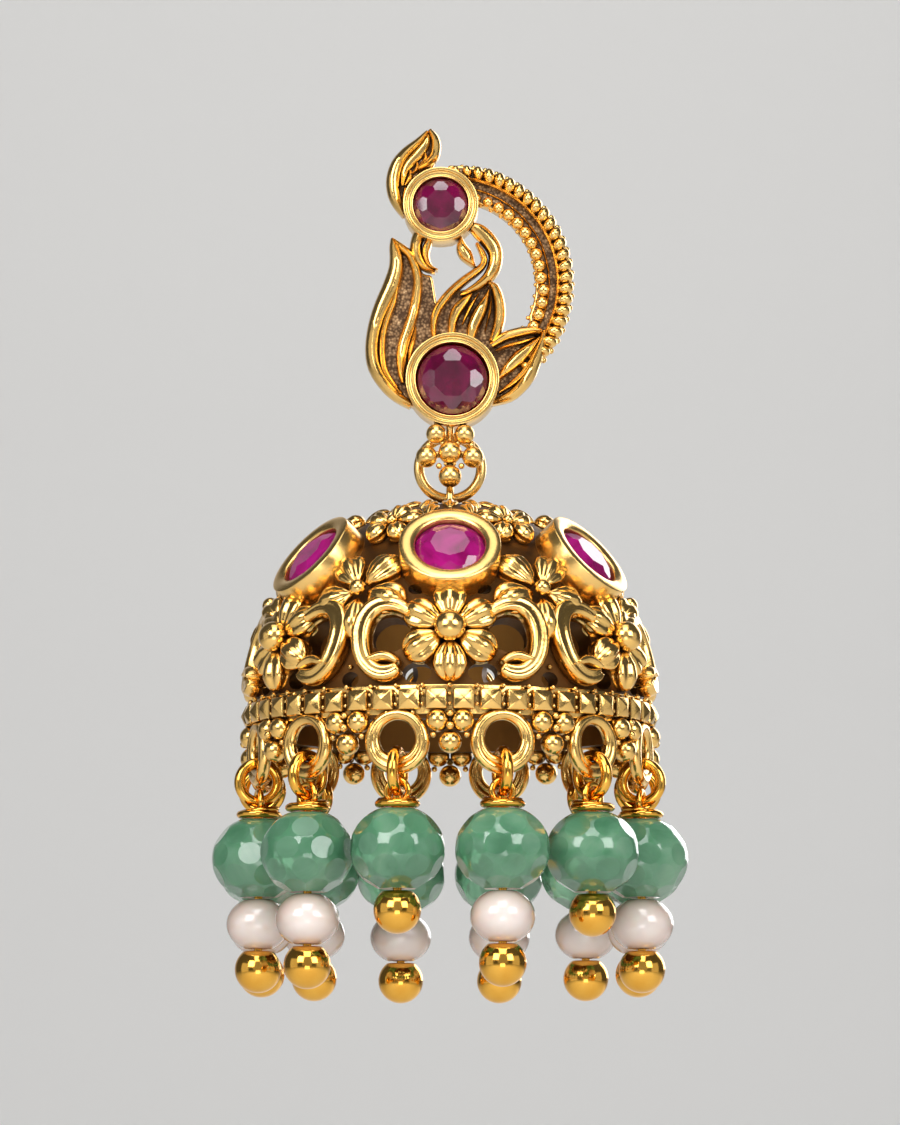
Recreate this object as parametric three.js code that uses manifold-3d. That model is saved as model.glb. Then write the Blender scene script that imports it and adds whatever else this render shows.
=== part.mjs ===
// Jhumka earring: a peacock ear top, a link ring, and a pierced bell with twelve bead drops.
// Millimetres, +Z up. The origin is where the ear post leaves the flat back of the ear top.
// The front faces -Y, so the back of the ear top lies in the plane Y = 0.

import * as THREE from 'three';
import { mergeVertices } from 'three/addons/utils/BufferGeometryUtils.js';
import Module from 'manifold-3d';

const wasm = await Module();
wasm.setup();

// Running gaps between pieces
const STONE_GAP = 0.15;
const LINK_GAP = 0.2;
const BEAD_GAP = 0.14;
const WELD = 1e-4;

// Ear top
const UPPER_BEZEL = { x: -0.61, z: 0, radius: 2.46, stone: 1.72, height: 2.5 };
const LOWER_BEZEL = { x: 0.16, z: -11.62, radius: 3.05, stone: 2.22, height: 2.7 };
const BEZEL_LIP = 0.3;
const BEZEL_SIDES = 14;
const PLATE_DEPTH = 0.9;
const STROKE_RISE = 1.9;
const TAIL = { x: 0.13, z: -5.02, outer: 7.95, inner: 5.4, depth: 1.1, from: 92, to: -52 };
const TAIL_TAPER = { from: -24, inner: 7.45 };
const TAIL_STEPS = 11;
const POST = { radius: 0.42, length: 11, sides: 8 };

// Hanging parts
const HANG_Y = -0.9;
const RING = { z: -17.29, radius: 2.04, wire: 0.34, sides: 14, wireSides: 6 };
const RING_TOP = RING.z + RING.radius;
const RING_FOOT = RING.z - RING.radius;
const STAPLE_WIRE = 0.25;
const STAPLE_RADIUS = RING.wire + LINK_GAP + STAPLE_WIRE;
const BALL_Y = -2.42;

// Bell: half of an ellipse turned about the hanging axis
const BELL = { radius: 12.7, height: 14.3, base: -34, wall: 1, rim: -34.9 };
const BELL_SIDES = 18;
const SECTORS = 6;
const SECTOR = 360 / SECTORS;
const BELL_BEZEL = { z: -24.4, radius: 3.25, stone: 2.36, height: 1.95, sink: 0.65, sides: 10 };
const BIG_FLOWER = { z: -29.4, radius: 3.2, petals: 6, rise: 1.25 };
const SIDE_FLOWER = { z: -26.5, radius: 2.4, petals: 5, rise: 1.2 };
const STUD_BAND = { z: -33.7, half: 0.66, depth: 0.2, count: 48, rise: 0.45 };
const RIM_RING = { z: -36.3, hole: 1.25, outer: 2.1, depth: 0.8, sides: 10 };
const RIM_RADIUS = 12.75;
const RIM_TRIO = { z: -35.4, radius: 1.5, petals: 3, rise: 0.9, turn: 180 };

// Drops, twelve in all, each between two ball trios
const DROPS = 12;
const DROP_TURN = 360 / DROPS;
const SHORT_DROPS = [5, 7];
const JUMP = { z: -38.2, radius: 1.26, wire: 0.34 };
const EYE = { radius: 0.7, wire: 0.2 };
const COIL = { top: -40.0, bottom: -40.46, radius: 1.42 };
const PIN_RADIUS = 0.28;
const BORE_RADIUS = 0.45;
const BEAD = { radius: 3.0, round: 2.75, half: 2.5, rows: 4 };
const PEARL = { radius: 2.05, round: 1.76, half: 1.58, rows: 3 };
const END_BALL = { radius: 1.5, neck: 1.18 };
const ROUND = 10;
const WIRE = 5;

const GOLD = new THREE.MeshStandardMaterial({ color: 0xc8963a, roughness: 0.3, metalness: 1 });
const BRIGHT_GOLD = new THREE.MeshStandardMaterial({ color: 0xe6a83a, roughness: 0.18, metalness: 1 });
const RUBY = new THREE.MeshStandardMaterial({ color: 0x8a0f4a, roughness: 0.08, metalness: 0 });
const GREEN = new THREE.MeshStandardMaterial({ color: 0x6fa882, roughness: 0.2, metalness: 0 });
const PEARL_WHITE = new THREE.MeshStandardMaterial({ color: 0xf1e2dc, roughness: 0.25, metalness: 0 });

const FRONT = new THREE.Vector3(0, -1, 0);
const radians = THREE.MathUtils.degToRad;

// A closed geometry as a solid, with its seams welded and its faces turned outwards
function solid(geometry) {
  const bare = new THREE.BufferGeometry();
  bare.setAttribute('position', geometry.attributes.position.clone());
  if (geometry.index) bare.setIndex([...geometry.index.array]);
  const welded = mergeVertices(bare, WELD);
  const places = welded.attributes.position;
  const corners = [new THREE.Vector3(), new THREE.Vector3(), new THREE.Vector3()];
  const faces = [];
  let volume = 0;
  for (let i = 0; i < welded.index.count; i += 3) {
    const face = [0, 1, 2].map((k) => welded.index.getX(i + k));
    if (new Set(face).size < 3) continue;
    corners.forEach((corner, k) => corner.fromBufferAttribute(places, face[k]));
    volume += corners[0].dot(corners[1].clone().cross(corners[2]));
    faces.push(face);
  }
  if (volume < 0) faces.forEach((face) => face.reverse());
  return new wasm.Manifold(new wasm.Mesh({
    numProp: 3,
    vertProperties: Float32Array.from(places.array),
    triVerts: Uint32Array.from(faces.flat()),
  }));
}

function join(solids) {
  return solids.reduce((whole, next) => whole.add(next));
}

function meshOf(body, name, material) {
  const { vertProperties, triVerts } = body.getMesh();
  const geometry = new THREE.BufferGeometry();
  geometry.setAttribute('position', new THREE.BufferAttribute(vertProperties, 3));
  geometry.setIndex(new THREE.BufferAttribute(triVerts, 1));
  geometry.computeVertexNormals();
  const mesh = new THREE.Mesh(geometry, material);
  mesh.name = name;
  return mesh;
}

// A closed profile of [radius, height] rows turned about the Z axis
function turned(profile, sides) {
  const rows = [...profile, profile[0]].map(([radius, height]) => new THREE.Vector2(radius, height));
  return new THREE.LatheGeometry(rows, sides).rotateX(Math.PI / 2);
}

// An outline of [x, z] rows raised from the back plane towards the front
function raised(outline, depth) {
  const shape = new THREE.Shape(outline.map(([x, z]) => new THREE.Vector2(x, z)));
  const geometry = new THREE.ExtrudeGeometry(shape, { depth, bevelEnabled: false });
  return solid(geometry.rotateX(Math.PI / 2));
}

function ball(radius, x, y, z) {
  return solid(new THREE.SphereGeometry(radius, 6, 4).translate(x, y, z));
}

function strut(from, to, radius) {
  const start = new THREE.Vector3(...from);
  const line = new THREE.Vector3(...to).sub(start);
  const rod = new THREE.CylinderGeometry(radius, radius, line.length(), WIRE);
  rod.translate(0, line.length() / 2, 0);
  const up = new THREE.Vector3(0, 1, 0);
  rod.applyQuaternion(new THREE.Quaternion().setFromUnitVectors(up, line.normalize()));
  return solid(rod.translate(...from));
}

// A closed bar through stations of { place, normal, half, rise }. Its section rows are
// [across, up], in shares of the station's half width and rise.
function bar(stations, section) {
  const points = [];
  const index = [];
  const size = section.length;
  stations.forEach(({ place, normal, half, rise }, i) => {
    const before = stations[Math.max(i - 1, 0)].place;
    const after = stations[Math.min(i + 1, stations.length - 1)].place;
    const along = after.clone().sub(before);
    const across = along.cross(normal).normalize();
    for (const [side, up] of section) {
      const point = place.clone().addScaledVector(across, side * half);
      points.push(...point.addScaledVector(normal, up * rise).toArray());
    }
    for (let k = 0; i > 0 && k < size; k += 1) {
      const [a, b] = [(i - 1) * size + k, (i - 1) * size + (k + 1) % size];
      index.push(a, b, a + size, b, b + size, a + size);
    }
  });
  const last = (stations.length - 1) * size;
  for (let k = 1; k < size - 1; k += 1) {
    index.push(0, k + 1, k, last, last + k, last + k + 1);
  }
  const geometry = new THREE.BufferGeometry();
  geometry.setAttribute('position', new THREE.Float32BufferAttribute(points, 3));
  geometry.setIndex(index);
  return solid(geometry);
}

// Rows of [u, v, half width] smoothed into evenly spread stations
function smoothed(rows, steps) {
  const curve = new THREE.CatmullRomCurve3(rows.map((row) => new THREE.Vector3(...row)));
  return curve.getPoints(steps);
}

const RIDGE = [[-1, 0], [0, 1], [1, 0]];

// A raised stroke of the casting. Its rows are [x, z, half width].
function stroke({ rows, rise = STROKE_RISE, steps = 4 }) {
  const stations = smoothed(rows, steps).map(({ x, y, z }) => ({
    place: new THREE.Vector3(x, 0, y), normal: FRONT, half: Math.max(z, 0.06), rise,
  }));
  return bar(stations, RIDGE);
}

// Ear top strokes, rows of [x, z, half width]
const CREST = [
  { rows: [[-1.4, 5.0, 0.12], [-2.4, 3.95, 0.34], [-3.5, 2.45, 0.38], [-3.62, 1.0, 0.36], [-3.05, -0.5, 0.3]] },
  { rows: [[-1.35, 5.1, 0.15], [-0.98, 4.1, 0.3], [-1.3, 3.0, 0.3], [-2.3, 2.2, 0.26], [-3.0, 1.5, 0.2]] },
  { rows: [[-1.5, 4.4, 0.1], [-2.2, 3.3, 0.26], [-3.1, 1.9, 0.16]], rise: 1.6, steps: 4 },
];
const CREST_PLATE = [
  [-1.35, 5.15], [-0.8, 4.3], [-0.9, 3.2], [-1.5, 2.2], [-2.4, 1.4], [-2.9, 0.2], [-3.1, -0.5],
  [-3.7, 0.4], [-3.95, 1.6], [-3.6, 2.8], [-2.6, 4.1],
];
const FLAME = [
  { rows: [[-3.95, -2.25, 0.1], [-3.45, -3.8, 0.34], [-3.85, -6.0, 0.46], [-4.8, -8.6, 0.52],
    [-4.75, -10.8, 0.5], [-2.6, -13.0, 0.42]], rise: 2.1, steps: 9 },
  { rows: [[-3.85, -2.3, 0.1], [-2.9, -2.9, 0.2], [-2.2, -4.4, 0.24], [-2.25, -6.4, 0.27],
    [-3.05, -8.8, 0.3], [-3.1, -10.6, 0.28], [-2.5, -12.2, 0.2]], steps: 8 },
];
const LOTUS = [
  { rows: [[1.99, -4.17, 0.2], [0.8, -5.05, 0.24], [-0.6, -6.3, 0.24], [-1.1, -8.3, 0.22], [-1.0, -9.2, 0.2]] },
  { rows: [[1.7, -5.6, 0.16], [0.7, -6.2, 0.26], [0.15, -7.4, 0.28], [0.05, -9.2, 0.24]], steps: 5 },
  { rows: [[2.6, -5.5, 0.12], [2.05, -7.0, 0.3], [1.4, -9.2, 0.26]], steps: 5 },
  { rows: [[2.66, -5.1, 0.12], [3.15, -6.5, 0.26], [3.1, -8.0, 0.28], [2.6, -9.4, 0.24]], steps: 5 },
];
const NECK = [
  { rows: [[1.3, -1.2, 0.34], [2.35, -2.2, 0.42], [2.85, -3.4, 0.44], [2.3, -4.6, 0.38], [0.9, -5.6, 0.3]],
    rise: 2.1, steps: 7 },
  { rows: [[0.75, -1.9, 0.12], [1.05, -3.0, 0.46], [1.85, -4.1, 0.16]], steps: 5 },
];
const BEAK = [
  { rows: [[-2.0, -1.6, 0.42], [-2.12, -2.9, 0.42], [-1.7, -3.8, 0.26], [-0.8, -4.2, 0.08]], rise: 2.0, steps: 5 },
];
const SIDE_PETAL = [
  { rows: [[2.6, -9.6, 0.24], [4.2, -8.6, 0.3], [6.2, -8.3, 0.14]], steps: 5 },
  { rows: [[2.9, -11.4, 0.24], [4.5, -10.1, 0.34], [6.1, -8.5, 0.12]], rise: 2.1, steps: 5 },
  { rows: [[2.5, -12.9, 0.24], [4.3, -12.0, 0.3], [5.5, -10.6, 0.28], [6.15, -8.5, 0.12]], steps: 6 },
];
const FEATHER_PLATE = [
  [-3.9, -2.4], [-3.5, -4.4], [-4.8, -7.8], [-5.0, -10.2], [-3.6, -12.5], [-1.6, -13.3], [2.6, -12.9],
  [4.9, -11.5], [6.0, -8.5], [4.2, -8.8], [3.2, -8.9], [3.1, -6.6], [2.5, -5.2], [1.0, -5.3], [-0.7, -6.3],
  [-1.25, -4.3], [-1.9, -4.4], [-2.2, -3.6], [-3.0, -2.9],
];
// Solder balls under the lower bezel, rows of [x, z, radius]; the third is the hub
const BALL_ROWS = [
  [-0.9, -15.24, 0.66], [0.94, -15.27, 0.66], [0, -16.45, 0.77], [-1.52, -16.74, 0.71],
  [1.5, -16.76, 0.71], [0, -18.02, 0.75],
];
const CLUSTER_STRUT = 0.26;

// A stone's cup, open at the top, standing on z = 0
function bezel({ radius, stone, height, sides = BEZEL_SIDES }) {
  const cup = stone + STONE_GAP;
  const floor = height - 1.45;
  return turned([
    [0, 0], [radius, 0], [radius, height - BEZEL_LIP], [radius - BEZEL_LIP, height],
    [cup, height], [cup, floor], [0, floor],
  ], sides);
}

// A round cut stone: culet, pavilion, girdle, crown and table, with the girdle at z = 0
function cutStone(radius) {
  return turned([
    [0, -0.62], [radius * 0.55, -0.55], [radius, -0.08], [radius, 0.08],
    [radius * 0.58, 0.42], [0, 0.42],
  ], 10);
}

function earBezel(spec) {
  const geometry = bezel(spec).rotateX(Math.PI / 2).translate(spec.x, 0, spec.z);
  return solid(geometry);
}

// Two beaded rows and a ridge between them on a tapering crescent
function tail() {
  const turn = TAIL.from - TAIL.to;
  const spot = (radius, angle) => [
    TAIL.x + radius * Math.cos(radians(angle)), TAIL.z + radius * Math.sin(radians(angle)),
  ];
  const outer = [];
  const inner = [];
  for (let i = 0; i <= TAIL_STEPS; i += 1) {
    const angle = TAIL.from - turn * i / TAIL_STEPS;
    const taper = Math.max(0, (TAIL_TAPER.from - angle) / (TAIL_TAPER.from - TAIL.to));
    outer.push(spot(TAIL.outer, angle));
    inner.unshift(spot(THREE.MathUtils.lerp(TAIL.inner, TAIL_TAPER.inner, taper), angle));
  }
  const ridges = [
    { radius: 7.5, half: 0.44, rise: 1.6, from: 90, to: -50 },
    { radius: 6.78, half: 0.16, rise: 1.4, from: 84, to: -42 },
    { radius: 5.85, half: 0.42, rise: 1.6, from: 72, to: -30 },
  ];
  const solids = ridges.map(({ radius, half, rise, from, to }) => {
    const stations = [];
    for (let i = 0; i <= TAIL_STEPS; i += 1) {
      const [x, z] = spot(radius, from + (to - from) * i / TAIL_STEPS);
      stations.push({ place: new THREE.Vector3(x, 0, z), normal: FRONT, half, rise });
    }
    return bar(stations, RIDGE);
  });
  return [raised([...outer, ...inner], TAIL.depth), ...solids];
}

// A wire staple round the link ring in the plane across it. It bends at height z and its legs
// run to the height given.
function staple(bend, legs) {
  const down = Math.sign(bend - legs);
  const route = [];
  const steps = 6;
  route.push(new THREE.Vector3(0, HANG_Y - STAPLE_RADIUS, legs));
  for (let i = 0; i <= steps; i += 1) {
    const angle = Math.PI * i / steps;
    const y = HANG_Y - STAPLE_RADIUS * Math.cos(angle);
    route.push(new THREE.Vector3(0, y, bend + down * STAPLE_RADIUS * Math.sin(angle)));
  }
  route.push(new THREE.Vector3(0, HANG_Y + STAPLE_RADIUS, legs));
  const side = new THREE.Vector3(1, 0, 0);
  const stations = route.map((place) => ({ place, normal: side, half: STAPLE_WIRE, rise: STAPLE_WIRE }));
  const hexagon = [0, 1, 2, 3, 4, 5].map((k) => [Math.cos(k * Math.PI / 3), Math.sin(k * Math.PI / 3)]);
  return bar(stations, hexagon);
}

// Balls soldered to each other and to the lower bezel
function ballCluster() {
  const hub = [BALL_ROWS[2][0], BALL_Y, BALL_ROWS[2][1]];
  const solids = BALL_ROWS.map(([x, z, radius]) => ball(radius, x, BALL_Y, z));
  for (const [x, z] of BALL_ROWS) {
    if (z !== hub[2]) solids.push(strut(hub, [x, BALL_Y, z], CLUSTER_STRUT));
  }
  for (const [x, z] of BALL_ROWS.slice(0, 2)) {
    solids.push(strut([x, BALL_Y, z], [x * 0.8, BALL_Y + 0.5, LOWER_BEZEL.z - 2.4], CLUSTER_STRUT));
  }
  return solids;
}

function earPost() {
  const pin = new THREE.CylinderGeometry(POST.radius, POST.radius, POST.length + PLATE_DEPTH, POST.sides);
  return solid(pin.translate(0, (POST.length - PLATE_DEPTH) / 2, 0));
}

function earTop() {
  const strokes = [...CREST, ...FLAME, ...LOTUS, ...NECK, ...BEAK, ...SIDE_PETAL];
  const cups = [UPPER_BEZEL, LOWER_BEZEL];
  const filled = join([
    raised(CREST_PLATE, PLATE_DEPTH), raised(FEATHER_PLATE, PLATE_DEPTH),
    ...tail(), ...strokes.map(stroke),
  ]);
  // The casting stops at each bezel, so no stroke runs over a stone
  const rooms = cups.map(({ x, z, radius, height }) => {
    const room = new THREE.CylinderGeometry(radius - 0.1, radius - 0.1, height * 2, BEZEL_SIDES);
    return solid(room.translate(x, 0, z));
  });
  const cast = rooms.reduce((whole, room) => whole.subtract(room), filled);
  const bail = staple(RING_TOP, LOWER_BEZEL.z - 2.5);
  return join([cast, ...cups.map(earBezel), ...ballCluster(), bail, earPost()]);
}

// Where the bell's outer surface has this height, as an angle of its ellipse
function rising(z) {
  return Math.asin((z - BELL.base) / BELL.height);
}

// A frame on the bell: x runs round it to the right, y climbs it and z points out of it. The
// spot lies right and up millimetres along the surface from the given azimuth and height.
function onBell(azimuth, z, { right = 0, up = 0, turn = 0, lift = 0 } = {}) {
  const start = rising(z);
  const pace = Math.hypot(BELL.radius * Math.sin(start), BELL.height * Math.cos(start));
  const angle = start + up / pace;
  const round = radians(azimuth) + right / (BELL.radius * Math.cos(angle));
  const outward = new THREE.Vector3(Math.sin(round), -Math.cos(round), 0);
  const tangent = new THREE.Vector3(Math.cos(round), Math.sin(round), 0);
  const normal = outward.clone().multiplyScalar(BELL.height * Math.cos(angle));
  normal.z = BELL.radius * Math.sin(angle);
  normal.normalize();
  const place = outward.multiplyScalar(BELL.radius * Math.cos(angle));
  place.add(new THREE.Vector3(0, HANG_Y, BELL.base + BELL.height * Math.sin(angle)));
  place.addScaledVector(normal, lift);
  const frame = new THREE.Matrix4().makeBasis(tangent, normal.clone().cross(tangent), normal);
  frame.setPosition(place);
  return frame.multiply(new THREE.Matrix4().makeRotationZ(radians(turn)));
}

// A flower as one folded star: a high middle, blunt petals and low notches between them. The
// first petal points straight up.
function flower(azimuth, { z, radius, petals, rise, turn = 0 }) {
  const blunt = 0.25;
  const pitch = 2 * Math.PI / petals;
  const rim = [];
  for (let i = 0; i < petals; i += 1) {
    const middle = i * pitch + radians(turn);
    rim.push([radius, middle - blunt * pitch, rise * 0.45], [radius, middle + blunt * pitch, rise * 0.45]);
    rim.push([radius * 0.5, middle + pitch / 2, rise * 0.4]);
  }
  const points = [[0, 0, rise], [0, 0, -0.5]];
  for (const [reach, angle, lift] of rim) {
    const right = -reach * Math.sin(angle);
    const up = reach * Math.cos(angle);
    points.push([right, up, lift], [right, up, -0.5]);
  }
  const index = [];
  for (let i = 0; i < rim.length; i += 1) {
    const top = 2 + 2 * i;
    const next = 2 + 2 * ((i + 1) % rim.length);
    index.push(0, top, next, 1, next + 1, top + 1, top, top + 1, next + 1, top, next + 1, next);
  }
  const places = points.flatMap(([right, up, lift]) => {
    const frame = onBell(azimuth, z, { right, up, lift });
    return new THREE.Vector3().setFromMatrixPosition(frame).toArray();
  });
  const geometry = new THREE.BufferGeometry();
  geometry.setAttribute('position', new THREE.Float32BufferAttribute(places, 3));
  geometry.setIndex(index);
  return solid(geometry);
}

// A C-scroll beside each big flower; rows of [right, up, half width] for the one on the right
const SCROLL = [
  [2.3, 1.6, 0.4], [3.5, 2.1, 0.5], [4.9, 1.7, 0.52], [5.7, 0.2, 0.54], [5.4, -1.5, 0.54],
  [4.4, -2.4, 0.5], [3.3, -1.7, 0.4],
];
const SCROLL_STEPS = 5;

function scroll(azimuth, side) {
  const stations = smoothed(SCROLL, SCROLL_STEPS).map(({ x, y, z }) => {
    const frame = onBell(azimuth, BIG_FLOWER.z, { right: side * x, up: y });
    const place = new THREE.Vector3().setFromMatrixPosition(frame);
    const normal = new THREE.Vector3().setFromMatrixColumn(frame, 2);
    return { place, normal, half: z, rise: 1 };
  });
  return bar(stations, [[-1, -0.5], [0, 1.1], [1, -0.5]]);
}

// Openings of one sixth of the bell. Azimuth is from the sixth's big flower, in degrees, and a
// pair repeats on the other side.
const PIERCED = [
  { azimuth: 19.5, z: -29.4, width: 1.1, height: 1.15, sides: 6, pair: true },
  { azimuth: 12.4, z: -32.15, width: 1.3, height: 0.65, sides: 4, pair: true },
  { azimuth: 30, z: -28.75, width: 0.45, height: 0.6, sides: 4, pair: false },
  { azimuth: 30, z: -32.3, width: 0.6, height: 0.6, sides: 4, pair: false },
];

function piercings() {
  const cutters = [];
  for (let sector = 0; sector < SECTORS; sector += 1) {
    for (const { azimuth, z, width, height, sides, pair } of PIERCED) {
      for (const side of pair ? [-1, 1] : [1]) {
        const plug = new THREE.CylinderGeometry(1, 1, 4, sides).rotateX(Math.PI / 2);
        plug.scale(width, height, 1);
        cutters.push(solid(plug.applyMatrix4(onBell(sector * SECTOR + side * azimuth, z))));
      }
    }
  }
  return cutters;
}

// The plain wall of the bell, from the stud band up to the crown
function bellWall() {
  const band = STUD_BAND;
  const profile = [];
  const inner = [];
  const steps = 5;
  const top = band.z + band.half;
  const waist = BELL.radius * Math.cos(rising(top));
  profile.push([waist, BELL.rim]);
  for (let i = 0; i <= steps; i += 1) {
    const angle = THREE.MathUtils.lerp(rising(top), Math.PI / 2, i / steps);
    profile.push([BELL.radius * Math.cos(angle), BELL.base + BELL.height * Math.sin(angle)]);
  }
  profile[profile.length - 1][0] = 0;
  for (let i = 0; i <= steps - 2; i += 1) {
    const angle = Math.PI / 2 * (1 - i / (steps - 2));
    const radius = (BELL.radius - BELL.wall) * Math.cos(angle);
    inner.push([radius, BELL.base + (BELL.height - BELL.wall) * Math.sin(angle)]);
  }
  inner[0][0] = 0;
  inner.push([BELL.radius - BELL.wall, BELL.rim]);
  const wall = turned([...profile, ...inner], BELL_SIDES);
  return solid(wall.translate(0, HANG_Y, 0));
}

// Places a geometry made for the front of the bell at an azimuth round it
function around(geometry, azimuth) {
  return solid(geometry.rotateZ(radians(azimuth)).translate(0, HANG_Y, 0));
}

// A band of pyramid studs, each a four-sided point on one side of the band
function studBand() {
  const { z, half, depth, count, rise } = STUD_BAND;
  const face = BELL.radius + depth;
  const points = [];
  const index = [];
  for (let i = 0; i < count; i += 1) {
    const edge = 2 * Math.PI * i / count;
    const middle = 2 * Math.PI * (i + 0.5) / count;
    const rows = [[face, z - half, edge], [face, z + half, edge], [face + rise, z, middle]];
    rows.push([BELL.radius - BELL.wall / 2, z - half, edge], [BELL.radius - BELL.wall / 2, z + half, edge]);
    for (const [radius, height, angle] of rows) {
      points.push(radius * Math.sin(angle), HANG_Y - radius * Math.cos(angle), height);
    }
    const [low, high, peak, backLow, backHigh] = [0, 1, 2, 3, 4].map((k) => 5 * i + k);
    const [low2, high2, , backLow2, backHigh2] = [0, 1, 2, 3, 4].map((k) => 5 * ((i + 1) % count) + k);
    index.push(low, low2, peak, low2, high2, peak, high2, high, peak, high, low, peak);
    index.push(high, high2, backHigh2, high, backHigh2, backHigh);
    index.push(backHigh, backHigh2, backLow2, backHigh, backLow2, backLow);
    index.push(backLow, backLow2, low2, backLow, low2, low);
  }
  const geometry = new THREE.BufferGeometry();
  geometry.setAttribute('position', new THREE.Float32BufferAttribute(points, 3));
  geometry.setIndex(index);
  return solid(geometry);
}

// The rim rings and the ball trios that hang between them
function rim() {
  const { z, hole, outer, depth, sides } = RIM_RING;
  const solids = [];
  for (let i = 0; i < DROPS; i += 1) {
    const ring = turned([[hole, 0], [outer, -depth / 2], [outer, depth / 2]], sides);
    ring.rotateX(Math.PI / 2).translate(0, -RIM_RADIUS, z);
    solids.push(around(ring, (i + 0.5) * DROP_TURN));
    solids.push(flower(i * DROP_TURN, RIM_TRIO));
  }
  return solids;
}

function bellBezel(azimuth) {
  const frame = onBell(azimuth, BELL_BEZEL.z, { lift: -BELL_BEZEL.sink });
  return solid(bezel(BELL_BEZEL).applyMatrix4(frame));
}

// Room for the stone's cup, so that no petal or leaf grows into it
function bellBezelRoom(azimuth) {
  const { radius, height, sides, z } = BELL_BEZEL;
  const room = new THREE.CylinderGeometry(radius - 0.1, radius - 0.1, height + 2, sides);
  room.rotateX(Math.PI / 2).translate(0, 0, height / 2 + 1);
  return solid(room.applyMatrix4(onBell(azimuth, z, { lift: -0.3 })));
}

function bell() {
  const relief = [];
  const bezels = [];
  for (let sector = 0; sector < SECTORS; sector += 1) {
    const azimuth = sector * SECTOR;
    const half = azimuth + SECTOR / 2;
    relief.push(flower(azimuth, BIG_FLOWER), flower(half, SIDE_FLOWER));
    relief.push(scroll(azimuth, -1), scroll(azimuth, 1));
    bezels.push(bellBezel(azimuth));
  }
  const groove = new THREE.CylinderGeometry(0.56, 0.56, 2.6, 8).rotateZ(Math.PI / 2);
  let wall = bellWall().subtract(solid(groove.translate(0, HANG_Y, RING_FOOT)));
  for (const cutter of piercings()) wall = wall.subtract(cutter);
  let worked = join([wall, ...relief]);
  for (let sector = 0; sector < SECTORS; sector += 1) {
    worked = worked.subtract(bellBezelRoom(sector * SECTOR));
  }
  const arch = staple(RING_FOOT, BELL.base + BELL.height - BELL.wall / 2);
  return join([worked, ...bezels, arch, studBand(), ...rim()]);
}

// A drilled bead: an ellipsoid cut flat at both ends
function drilled({ radius, round, half, rows }) {
  const profile = [[BORE_RADIUS, -half]];
  const limit = Math.asin(half / round);
  for (let i = 0; i <= rows; i += 1) {
    const angle = THREE.MathUtils.lerp(-limit, limit, i / rows);
    profile.push([radius * Math.cos(angle), round * Math.sin(angle)]);
  }
  profile.push([BORE_RADIUS, half]);
  return turned(profile, ROUND);
}

// A headpin: an eye round the jump ring, a coil, a shaft and an end ball
function dropPin(ballCentre) {
  const eye = new THREE.TorusGeometry(EYE.radius, EYE.wire, WIRE, ROUND);
  eye.rotateX(Math.PI / 2).translate(0, 0, JUMP.z - JUMP.radius);
  const coil = turned([
    [0, COIL.bottom], [COIL.radius, COIL.bottom], [COIL.radius, COIL.top], [0, COIL.top],
  ], ROUND);
  const length = COIL.top - ballCentre;
  const shaft = new THREE.CylinderGeometry(PIN_RADIUS, PIN_RADIUS, length, WIRE);
  shaft.rotateX(Math.PI / 2).translate(0, 0, ballCentre + length / 2 - 0.1);
  const top = Math.acos(END_BALL.neck / END_BALL.radius);
  const profile = [[0, END_BALL.neck]];
  const rows = 3;
  for (let i = 0; i <= rows; i += 1) {
    const angle = THREE.MathUtils.lerp(top, Math.PI, i / rows);
    profile.push([END_BALL.radius * Math.sin(angle), END_BALL.radius * Math.cos(angle)]);
  }
  profile[profile.length - 1][0] = 0;
  const endBall = turned(profile, ROUND).translate(0, 0, ballCentre);
  return join([eye, coil, shaft, endBall].map(solid));
}

const earring = new THREE.Group();

earring.add(meshOf(earTop(), 'ear_top', GOLD));

for (const [name, spec] of [['ear_stone_upper', UPPER_BEZEL], ['ear_stone_lower', LOWER_BEZEL]]) {
  const stone = meshOf(solid(cutStone(spec.stone)), name, RUBY);
  stone.rotation.x = Math.PI / 2;
  stone.position.set(spec.x, -(spec.height - 0.5), spec.z);
  earring.add(stone);
}

const hanging = new THREE.Group();
hanging.position.y = HANG_Y;
earring.add(hanging);

const ringShape = new THREE.TorusGeometry(RING.radius, RING.wire, RING.wireSides, RING.sides);
const linkRing = meshOf(solid(ringShape), 'link_ring', GOLD);
linkRing.rotation.x = Math.PI / 2;
linkRing.position.z = RING.z;
hanging.add(linkRing);

earring.add(meshOf(bell(), 'bell', GOLD));

for (let i = 0; i < SECTORS; i += 1) {
  const stone = meshOf(solid(cutStone(BELL_BEZEL.stone)), `bell_stone_${i + 1}`, RUBY);
  const lift = BELL_BEZEL.height - BELL_BEZEL.sink - 0.5;
  stone.applyMatrix4(onBell(i * SECTOR, BELL_BEZEL.z, { lift }));
  earring.add(stone);
}

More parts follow.
